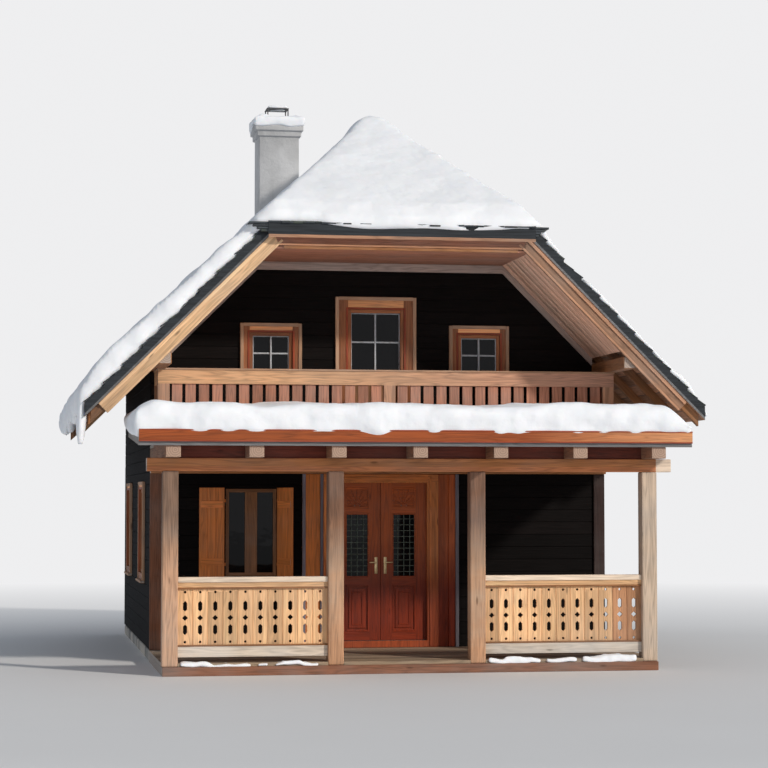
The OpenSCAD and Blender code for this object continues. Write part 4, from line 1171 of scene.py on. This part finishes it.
    def lumps(self):
        """Snow on the chimney's crown and on its cowl."""
        lo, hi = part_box("chimney")
        cowl_lo, cowl_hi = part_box("chimney_cowl")
        bench = Bench()
        crown = Matrix.Translation(((lo.x + hi.x) / 2, (lo.y + hi.y) / 2, cowl_lo.z))
        wide, flue = (hi.x - lo.x) / 2, 0.13
        half = wide - 0.06
        for side in range(4):
            bench.place = crown @ Matrix.Rotation(side * math.pi / 2, 4, "Z")
            bench.board((-half, -half, -0.01), (half, -flue - 0.02, 0.075 + 0.012 * side), 0.0)
            bench.board((-wide - 0.025, -wide - 0.025, -0.08 + 0.02 * side),
                        (wide + 0.025, -half + 0.02, 0.050 + 0.010 * (side % 3)), 0.0)
        bench.board((-wide - 0.02, -wide - 0.025, -0.10), (-0.05, -wide + 0.03, -0.03), 0.0)
        bench.place = Matrix()
        bench.board((cowl_lo.x + 0.01, cowl_lo.y + 0.01, cowl_hi.z - 0.004),
                    (cowl_hi.x - 0.01, cowl_hi.y - 0.01, cowl_hi.z + 0.045), 0.0)
        self.heaped(bench.bm, 0.020, "chimney_snow", 12)

    def ledges(self):
        """Small lumps of snow that stay on the sill under the railing."""
        bench = Bench()
        pick = random.Random(5)
        lo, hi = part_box("porch_sills")
        for x0, x1, n in RAIL_BAYS:
            at = x0 + 0.03
            while at < x1 - 0.15:
                wide = pick.uniform(0.10, 0.26)
                tall = min(pick.uniform(0.035, 0.09), 0.4 * wide) * (1.0 if x0 > 0 else 0.7)
                deep = pick.uniform(0.07, 0.15)
                bench.board((at, lo.y + 0.006, hi.z - 0.006),
                            (min(at + wide, x1 - 0.03), lo.y + deep, hi.z + tall), 0.0)
                at += wide + pick.choice((-0.05, -0.03, 0.01, 0.08))
        self.heaped(bench.bm, 0.014, "ledge_snow", 7)

    def heaped(self, bm, cell, name, times, rough=0.03):
        """A small heap: one even skin, made uneven and then soft."""
        bm = self.remeshed(bm, cell)
        for v in bm.verts:
            lump = noise.noise(v.co * 6.0)
            v.co += Vector((0, 0, rough * lump)) + rough * 0.4 * noise.noise_vector(v.co * 14.0)
        soften(bm, times)
        put(bm, name, "snow", "snow", smooth=180)


class OBJECT_OT_chalet_porch(bpy.types.Operator):
    """Dresses the porch: sills, floor, posts, beams, joists, roof, fascia and the sawn railing"""
    bl_idname = "chalet.porch"
    bl_label = "Porch"

    def execute(self, context):
        sizes = context.scene.chalet_sizes
        for node, name, width, along, look, lot in (
                ("porch_sills", "sill_timbers", 0.010, None, "sill_timber", (0.2, 0.7)),
                ("porch_posts", "post_timbers", 0.014, Z, ("post_timber", "corner_post", "middle_post"),
                 (0.35, 0.9)),
                ("porch_joists", "joist_timbers", 0.010, Y, "joist_timber", (0.2, 1.0))):
            bm = lay_grain(ease(node_copy(node), width, 2), along, None, node, lot)
            put(bm, name, "grey_timber", look, node,
                choose=self.post_look if node == "porch_posts" else None)
        band, end = 2.50, HALF_W
        # The beam's front below z 2.50 is split off for an orange finish that paints light on that band
        bm = score(ease(node_copy("porch_beams"), 0.010, 2), Z, (band,))
        score(bm, X, (end,), lambda f: f.calc_center_median().y < 1)
        lay_grain(bm, X, lambda c, n: (c.z > band, c.y > 1), "beams", (0.5, 0.9))
        # The beam's stub past the right wall takes the pale cap finish, painted sunlight on that end
        put(bm, "beam_timbers", "brown_boards", ("beam_timber", "beam_edge", "cap_timber"), "porch_beams",
            choose=lambda c, n: 2 if c.x > end and c.y < 1 else (1 if c.z < band and c.y < 1 else 0))
        bench = Bench()
        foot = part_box("porch_joists")[0]
        centre = -foot.x - JOIST_W / 2
        for i in range(6):
            x0, x1 = (-centre + 2 * centre * (i + step) / 6 for step in (0, 1))
            bench.board((x0 + JOIST_W / 2 - 0.004, 0.050, foot.z - 0.002),
                        (x1 - JOIST_W / 2 + 0.004, 0.078, foot.z + 0.165), 0.003)
        put(lay_grain(bench.bm, X, None, 56), "joist_fillers", "orange_boards", "filler_timber")

        lo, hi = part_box("porch_fascia")
        bm = lay_grain(ease(node_copy("porch_fascia"), 0.006, 2), X, None, "fascia", (0.7, 0.95))
        put(bm, "fascia_board", "orange_boards", "fascia_timber", "porch_fascia")
        bench = Bench()
        # The thin dark strip on the fascia's top is painted shadow under the snow's edge; the strip along its
        # foot is a dark red line
        bench.board((lo.x, lo.y - 0.006, hi.z - 0.010), (hi.x, hi.y + 0.004, hi.z + 0.006), 0.003)
        bench.board((lo.x, lo.y - 0.004, lo.z - 0.006), (hi.x, hi.y, lo.z + 0.010), 0.003)
        put(lay_grain(bench.bm, X, None, 52), "fascia_strips", "orange_boards", "strip_timber")
        bm = node_copy("porch_roof")
        lo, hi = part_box("porch_roof")
        groove(bm, Y, steps(lo.y, hi.y, sizes.roof_board), 0.010, 0.006, lambda f: f.normal.z < -0.5)
        lay_grain(bm, X, lambda c, n: (math.floor((c.y - lo.y) / sizes.roof_board),), 53)
        put(bm, "porch_roof_boards", "shingles", ("roof_edge", "ceiling_timber"), "porch_roof",
            choose=lambda c, n: 1 if n.z < -0.5 else 0)

        for node in ("porch_floor", "balcony_floor", "ground_floor", "upper_floor"):
            bm = node_copy(node)
            lo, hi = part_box(node)
            groove(bm, Y, steps(lo.y, hi.y, sizes.floor_board), 0.008, 0.005)
            lay_grain(bm, X, lambda c, n, lo=lo: (math.floor((c.y - lo.y) / sizes.floor_board),), node)
            put(bm, node + "_boards", "floor_boards", "floor_boards", node)
        self.railing(0.352, 1.048)
        return {"FINISHED"}

    def post_look(self, c, n):
        """The right corner post gets a paler finish, which paints sunlight on it; the middle ones get a darker
        finish, which paints the porch roof's shade; the left one has a finish of its own.
        """
        if c.x > 2.5:
            return 1
        return 0 if c.x < -2.5 else 2

    def railing(self, low, high):
        """The sawn boards, their rails, the cap and the bead under it."""
        joints = [x0 + (x1 - x0) * i / n for x0, x1, n in RAIL_BAYS for i in range(n + 1)]
        ends = [x for bay in RAIL_BAYS for x in bay[:2]]

        def board(f):
            return abs(f.normal.y) > 0.9 and low < f.calc_center_median().z < high

        def rows(c, n):
            return (sum(x < c.x for x in joints) if low < c.z < high else 99, c.z > 1)

        def look(c, n):
            if c.z < low:
                return 1
            # Boards right of x 2.50 take a redder, darker finish: the corner post's shadow painted on them
            return 2 if c.x > 2.50 and c.z < high else 0
        bm = ease(node_copy("porch_railing"), 0.004)
        inner = [x for x in joints if all(abs(x - e) > 0.02 for e in ends)]
        groove(bm, X, inner, 0.010, 0.008, board)
        lay_grain(bm, lambda c, n: Z if low < c.z < high else X, rows, 51, (0.3, 0.95))
        put(bm, "porch_railing_boards", "pale_timber", ("pale_timber", "frost_timber", "railing_painted_post_shadow"),
            "porch_railing", choose=look)
        cap, bead = Bench(), Bench()
        for x0, x1, n in RAIL_BAYS:
            cap.board((x0, 0.042, 1.110), (x1, 0.148, 1.174), 0.007, 2)
            bead.board((x0, 0.050, 1.030), (x1, 0.140, 1.052), 0.004)
            bead.board((x0, 0.052, low - 0.006), (x1, 0.138, low + 0.014), 0.004)
        put(lay_grain(cap.bm, X, None, 54, (0.8, 1.0)), "railing_caps", "pale_timber", "cap_timber")
        put(lay_grain(bead.bm, X, None, 55), "railing_beads", "pale_timber", "brown_boards")


class OBJECT_OT_chalet_balcony(bpy.types.Operator):
    """Dresses the balcony's railing"""
    bl_idname = "chalet.balcony"
    bl_label = "Balcony"

    def execute(self, context):
        bm = ease(node_copy("balcony_railing"), 0.005)
        lo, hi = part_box("balcony_railing")
        head = hi.z - 0.18
        turn = lo.y + 0.083

        def post(c):
            if c.y < turn:
                return abs(c.x) < 0.078 or abs(c.x) > hi.x - 0.153
            return c.y < turn + 0.153 or c.y > hi.y - 0.153
        score(bm, Z, (head,))
        below = lambda f: f.calc_center_median().z < head
        score(bm, X, (-hi.x + 0.15, -0.075, 0.075, hi.x - 0.15), lambda f: below(f) and abs(f.normal.y) > 0.5)
        score(bm, Y, (turn + 0.15, hi.y - 0.15), lambda f: below(f) and abs(f.normal.x) > 0.5)

        def grain(c, n):
            if c.z < head and (post(c) or c.z > lo.z + 0.19 or c.z < lo.z + 0.055):
                return Z
            return X if c.y < turn else Y

        def rows(c, n):
            if c.z > head:
                return (0, c.y < turn)
            return (1, math.floor((c.x + 4) / SLAT_PITCH), math.floor(c.y / SLAT_PITCH))
        lay_grain(bm, grain, rows, 61, (0.3, 0.95))
        put(bm, "balcony_railing_boards", "orange_boards", ("rail_timber", "tan_boards", "rose_boards"),
            "balcony_railing", choose=lambda c, n: 0 if c.z > head else (1 if post(c) else 2))
        bench = Bench()
        z0, z1 = hi.z - 0.004, hi.z + 0.020
        bench.board((lo.x - 0.01, lo.y - 0.014, z0), (hi.x + 0.01, lo.y + 0.094, z1), 0.006, 2)
        for x in (lo.x - 0.01, hi.x - 0.094):
            bench.board((x, lo.y + 0.095, z0), (x + 0.104, hi.y, z1), 0.006, 2)
        put(lay_grain(bench.bm, None, None, 63, (0.5, 0.9)), "balcony_caps", "orange_boards", "edge_timber")
        return {"FINISHED"}


def window_spots():
    """Place, width, height, mullion and casing of each fixed window, outer face at y = 0 of its place."""
    small, large = (0.57, 0.55, 0.02, 0.12), (0.80, 1.14, 0.06, 0.10)
    spots = [(Matrix.Translation((FRONT_WINDOW_X, FRONT_Y, WINDOW_Z[0])), 0.67, 1.14, 0.16, 0.0)]
    for side in (-1, 1):
        for y in SIDE_WINDOWS_Y:
            turn = Matrix.Rotation(math.radians(90 * side), 4, "Z")
            spots.append((Matrix.Translation((side * HALF_W, y, WINDOW_Z[0])) @ turn, *large))
        half = Matrix.Rotation(math.pi, 4, "Z")
        x = side * SMALL_WINDOW_X
        spots.append((Matrix.Translation((x, BACK_Y, WINDOW_Z[0])) @ half, *large))
        spots.append((Matrix.Translation((x, BACK_Y, SMALL_WINDOW_Z[0])) @ half, *small))
        spots.append((Matrix.Translation((x + UPPER_SHIFT, FRONT_Y, SMALL_WINDOW_Z[0])), *small))
    return spots


class OBJECT_OT_chalet_windows(bpy.types.Operator):
    """Joins the windows and the balcony door from boards, beads, bars and sills"""
    bl_idname = "chalet.windows"
    bl_label = "Windows"

    def execute(self, context):
        bar = context.scene.chalet_sizes.bar
        self.benches = [Bench() for _ in range(5)]
        self.boards, self.edges, self.strips, self.bars, self.dark = self.benches
        border = 0.045
        for place, w, h, mullion, casing in window_spots():
            for bench in self.benches:
                bench.place = place
            half = w / 2
            wood = self.boards if casing else self.dark
            wood.frame(-half, half, 0, h, border, 0.0, 0.09, 0.004)
            if casing:
                self.casing(half, 0, h, casing)
            if mullion > 0.03:
                wood.board((-mullion / 2, 0.004, border - 0.002),
                           (mullion / 2, 0.088, h - border + 0.002), 0.005, 2)
            if not casing:
                continue
            rows = 1 if h < 0.6 else 2
            for side in (-1, 1):
                x0, x1 = span(side, mullion / 2, half - border)
                for i in range(1, rows + 1):
                    z = border + (h - 2 * border) * i / (rows + 1)
                    self.bars.board((x0, 0.020, z - bar / 2), (x1, 0.034, z + bar / 2), 0.003)
            if mullion < 0.03:
                self.bars.board((-bar / 2, -0.002, border), (bar / 2, 0.088, h - border), 0.004)
            self.bars.frame(-half + border, half - border, border, h - border, 0.013, 0.018, 0.034, 0.003)
        self.balcony_door(bar)
        put(lay_grain(self.boards.bm, None, None, 71, (0.4, 0.95)), "casing_boards", "orange_boards",
            ("orange_boards", "head_timber"), "window_frames", "balcony_door", choose=self.head)
        for bench, seed, lot, name, slot, look in (
                (self.edges, 72, (0.4, 1.0), "casing_edges", "orange_boards", "edge_timber"),
                (self.strips, 73, (0.4, 1.0), "casing_strips", "orange_boards", "strip_timber"),
                (self.bars, 74, (0.0, 1.0), "window_bars", "window_glass", "bar_paint"),
                (self.dark, 75, (0.2, 0.6), "shuttered_window", "orange_boards", "brown_boards")):
            put(lay_grain(bench.bm, None, None, seed, lot), name, slot, look)
        coat("window_glass", "window_glass")
        return {"FINISHED"}

    def head(self, c, n):
        """The boards over the windows and over the balcony door."""
        tops = (WINDOW_Z[1], SMALL_WINDOW_Z[1], BALCONY_DOOR[2])
        return 1 if any(z < c.z < z + CASING_HEAD for z in tops) else 0

    def casing(self, half, z0, z1, wide, foot=True):
        """Casing boards round an opening, with a pale outer edge, a red inner strip and a sill."""
        low = z0 - wide if foot else z0
        out, top = half + wide, z1 + wide
        for side in (-1, 1):
            x0, x1 = span(side, half, out)
            self.boards.board((x0, -0.025, low), (x1, 0.002, top), 0.004)
            x0, x1 = span(side, out - 0.042, out + 0.004)
            self.edges.board((x0, -0.038, low), (x1, 0.002, top), 0.005)
            x0, x1 = span(side, half, half + 0.028)
            self.strips.board((x0, -0.033, z0), (x1, -0.020, z1 + 0.028), 0.004)
        self.boards.board((-half, -0.027, z1), (half, 0.002, top), 0.004)
        self.edges.board((-out + 0.040, -0.037, top - 0.042), (out - 0.040, 0.002, top + 0.004), 0.005)
        self.strips.board((-half, -0.032, z1), (half, -0.020, z1 + 0.028), 0.004)
        if foot:
            self.boards.board((-half, -0.027, low), (half, 0.002, z0), 0.004)
            self.edges.board((-out - 0.015, -0.062, low - 0.022), (out + 0.015, 0.002, low + 0.012), 0.005)

    def balcony_door(self, bar):
        """The balcony door: a glazed upper half over vertical boards, in its casing."""
        half, z0, z1 = BALCONY_DOOR
        glass, stile = z1 - 0.82, 0.045
        for bench in self.benches:
            bench.place = Matrix.Translation((UPPER_SHIFT, FRONT_Y, 0))
        self.casing(half, z0, z1, 0.165, False)
        for side in (-1, 1):
            x0, x1 = span(side, half - stile, half)
            self.boards.board((x0, -0.020, z0), (x1, 0.09, z1), 0.004)
        inner = half - stile
        for a, b in ((z0, z0 + stile), (glass - 0.06, glass), (z1 - stile, z1)):
            self.boards.board((-inner - 0.002, -0.016, a), (inner + 0.002, 0.088, b), 0.004)
        wide = (2 * half - 2 * stile) / 5
        for i in range(5):
            x = -half + stile + i * wide
            self.dark.board((x, 0.044, z0 + stile - 0.004), (x + wide, 0.090, glass - 0.056), 0.006, 2)
        middle = (glass + z1 - stile) / 2
        self.bars.board((-bar / 2, 0.028, glass), (bar / 2, 0.048, z1 - stile), 0.003)
        self.bars.board((-inner, 0.030, middle - bar / 2), (inner, 0.046, middle + bar / 2), 0.003)
        self.bars.frame(-inner, inner, glass, z1 - stile, 0.013, 0.026, 0.048, 0.003)


class OBJECT_OT_chalet_doors(bpy.types.Operator):
    """Dresses the front door with its carving and grilles, its surround and the shutters"""
    bl_idname = "chalet.doors"
    bl_label = "Doors and shutters"

    def execute(self, context):
        self.surround()
        for side, word in ((-1, "left"), (1, "right")):
            self.leaf(side, word)
            self.shutter(side, word)
        coat("hinge_pins", "iron")
        return {"FINISHED"}

    def surround(self):
        """The door's frame and side panels, with their battens and the beads round the leaves."""
        outer = 1.05
        bm = ease(node_copy("door_frame"), 0.006)
        score(bm, X, (-JAMB, -DOOR_HALF, DOOR_HALF, JAMB))
        score(bm, Z, (DOOR_HEAD,), lambda f: abs(f.calc_center_median().x) < JAMB)
        groove(bm, X, (PANEL_NOTCH,), 0.012, 0.010, lambda f: f.normal.y < -0.9)

        def grain(c, n):
            level = c.z > DOOR_HEAD and abs(c.x) < JAMB or c.z < 0.235 and abs(c.x) < DOOR_HALF
            return X if level else Z

        def rows(c, n):
            return (c.x > 0, abs(c.x) > JAMB, c.x > PANEL_NOTCH, c.z > DOOR_HEAD)

        def look(c, n):
            if c.y > FRONT_Y + 0.05:
                return 0
            if abs(c.x) > JAMB:
                return 2 if c.x < 0 else 0
            return 1
        lay_grain(bm, grain, rows, 81, (0.35, 0.95))
        put(bm, "door_surround", "red_timber", ("red_timber", "jamb_timber", "panel_timber"), "door_frame",
            choose=look)
        bench = Bench()
        for x0, x1 in ((-outer, -outer + 0.045), (-JAMB - 0.040, -JAMB), (outer - 0.045, outer)):
            bench.board((x0, FRONT_Y - 0.022, WALL_FOOT), (x1, FRONT_Y + 0.002, 2.436), 0.004)
        put(lay_grain(bench.bm, Z, None, 84), "surround_battens", "red_timber", "slate_timber")
        bench = Bench()
        y0, y1, half = FRONT_Y - 0.052, FRONT_Y - 0.036, DOOR_HALF + 0.045
        for side in (-1, 1):
            x0, x1 = span(side, DOOR_HALF + 0.02, half)
            bench.board((x0, y0, 0.17), (x1, y1, DOOR_HEAD + 0.06), 0.004, 2)
        bench.board((-half, y0, DOOR_HEAD + 0.035), (half, y1, DOOR_HEAD + 0.062), 0.004, 2)
        put(lay_grain(bench.bm, None, None, 85, (0.7, 1.0)), "jamb_beads", "red_timber", "jamb_timber")

    def leaf(self, side, word):
        """A leaf: carved panels below and above, and a grille before its pane."""
        low, pane, top = (0.36, 0.97), (1.07, 1.92), (1.99, 2.26)
        bench, metal, brass = Bench(ease(node_copy("door_leaf_" + word), 0.004)), Bench(), Bench()
        x0, x1 = span(side, 0.153, 0.474)
        score(bench.bm, X, (x0, x1))
        score(bench.bm, Z, (*low, *pane, *top), lambda f: x0 < f.calc_center_median().x < x1)
        y = LEAF_OUT
        for z0, z1 in (low, top):
            bench.frame(x0, x1, z0, z1, 0.022, y - 0.004, y + 0.013, 0.004)
        bench.board((x0 + 0.045, y + 0.001, low[0] + 0.045), (x1 - 0.045, y + 0.016, low[1] - 0.045),
                    0.012, 3)
        bench.frame(x0 + 0.085, x1 - 0.085, low[0] + 0.085, low[1] - 0.085, 0.016, y - 0.006, y + 0.004,
                    0.004)
        bench.frame(x0, x1, *pane, 0.020, y - 0.006, y + 0.021, 0.004)
        middle = (x0 + x1) / 2
        for i in range(9):
            angle = math.radians(-80 + 20 * i)
            reach = min(0.215 / max(0.2, math.cos(angle)), 0.128 / max(0.2, abs(math.sin(angle))))
            bench.place = Matrix.Translation((middle, 0, top[0] + 0.026)) @ Matrix.Rotation(angle, 4, "Y")
            bench.board((-0.008, y + 0.001, 0.05), (0.008, y + 0.016, reach), 0.003)
        bench.cone((middle, y + 0.008, top[0] + 0.030), 20, 0.042, 0.030, 0.020)

        def stile(c, n):
            return (abs(c.x) < 0.155, abs(c.x) > 0.472)

        def grain(c, n):
            return Z if any(stile(c, n)) or low[0] < c.z < low[1] else X
        put(lay_grain(bench.bm, grain, stile, 82 + side, (0.45, 0.9), 9), "leaf_timber_" + word,
            "red_timber", "red_timber", "door_leaf_" + word, body="door_" + word)
        coat("door_glass_" + word, "window_glass")
        for i in range(1, 4):
            x = x0 + (x1 - x0) * i / 4
            metal.board((x - 0.005, y + 0.004, pane[0] + 0.01), (x + 0.005, y + 0.010, pane[1] - 0.01), 0.002)
        for i in range(1, 11):
            z = pane[0] + (pane[1] - pane[0]) * i / 11
            metal.board((x0 + 0.01, y + 0.008, z - 0.005), (x1 - 0.01, y + 0.014, z + 0.005), 0.002)
        put(lay_grain(metal.bm, None, None, 83), "grille_" + word, "iron", "grille", body="door_" + word)
        x = side * 0.062
        brass.board((x - 0.020, y - 0.005, 1.12), (x + 0.020, y + 0.001, 1.34), 0.004, 2)
        brass.cone((x, y - 0.024, 1.27), 16, 0.010, 0.010, 0.040)
        h0, h1 = sorted((x - side * 0.008, x + side * 0.095))
        brass.board((h0, y - 0.048, 1.261), (h1, y - 0.034, 1.279), 0.006, 3)
        put(lay_grain(brass.bm, None, None, 88), "handle_" + word, "iron", "brass", body="door_" + word,
            smooth=40)

    def shutter(self, side, word):
        """A shutter of three boards with two ledges on its inner face."""
        turn = math.pi if side < 0 else -SHUTTER_AJAR
        place = (Matrix.Translation((FRONT_WINDOW_X + side * SHUTTER_PIN_X, FRONT_Y - 0.030, 0))
                 @ Matrix.Rotation(turn, 4, "Z"))
        along = place.to_3x3() @ X
        bench = Bench(ease(node_copy("shutter_" + word), 0.004))
        bench.place = place
        first = place.translation.dot(along) + 0.012
        groove(bench.bm, along, [first + SHUTTER_W * i / 3 for i in (1, 2)], 0.010, 0.006,
               lambda f: abs(f.normal.dot(along)) < 0.3)
        lo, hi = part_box("shutter_" + word)
        for z in (lo.z + 0.16, hi.z - 0.26):
            y0, y1 = (0.013, 0.024) if side < 0 else (-0.024, -0.013)
            bench.board((0.030, y0, z), (0.012 + SHUTTER_W - 0.018, y1, z + 0.09), 0.003)

        def grain(c, n):
            local = place.inverted() @ c
            return along if abs(local.y) > 0.0152 else Z

        def rows(c, n):
            return (math.floor((c.dot(along) - first) / SHUTTER_W * 3),)
        put(lay_grain(bench.bm, grain, rows, 86, (0.45, 0.9), 3), "shutter_boards_" + word,
            "orange_boards", "shutter_timber", "shutter_" + word, body="shutter_" + word)


class OBJECT_OT_chalet_chimney(bpy.types.Operator):
    """Plasters the chimney and dresses its cowl"""
    bl_idname = "chalet.chimney"
    bl_label = "Chimney"

    def execute(self, context):
        bm = ease(node_copy("chimney"), 0.014, 2)
        put(bm, "chimney_plaster", "plaster", "plaster", "chimney", smooth=40)
        coat("chimney_cowl", "sheet_metal")
        return {"FINISHED"}


STEPS = ("stage", "walls", "roof_frame", "shingles", "porch", "balcony", "windows", "doors", "chimney",
         "snow")


class VIEW3D_PT_chalet(bpy.types.Panel):
    """Lists the sizes, the colours and the steps of the chalet"""
    bl_idname = "VIEW3D_PT_chalet"
    bl_label = "Chalet"
    bl_space_type = "VIEW_3D"
    bl_region_type = "UI"
    bl_category = "Chalet"

    def draw(self, context):
        for group in (context.scene.chalet_sizes, context.scene.chalet_colours):
            for name in group.__annotations__:
                self.layout.prop(group, name)
        for step in STEPS:
            self.layout.operator("chalet." + step)


CLASSES = (ChaletColours, ChaletSizes, OBJECT_OT_chalet_stage, OBJECT_OT_chalet_walls,
           OBJECT_OT_chalet_roof_frame, OBJECT_OT_chalet_shingles, OBJECT_OT_chalet_porch,
           OBJECT_OT_chalet_balcony, OBJECT_OT_chalet_windows, OBJECT_OT_chalet_doors,
           OBJECT_OT_chalet_chimney, OBJECT_OT_chalet_snow, VIEW3D_PT_chalet)


def register():
    for cls in CLASSES:
        bpy.utils.register_class(cls)
    bpy.types.Scene.chalet_sizes = bpy.props.PointerProperty(type=ChaletSizes)
    bpy.types.Scene.chalet_colours = bpy.props.PointerProperty(type=ChaletColours)


def unregister():
    del bpy.types.Scene.chalet_sizes
    del bpy.types.Scene.chalet_colours
    for cls in reversed(CLASSES):
        bpy.utils.unregister_class(cls)


def main():
    register()
    for step in STEPS:
        getattr(bpy.ops.chalet, step)()


if __name__ == "__main__":
    main()
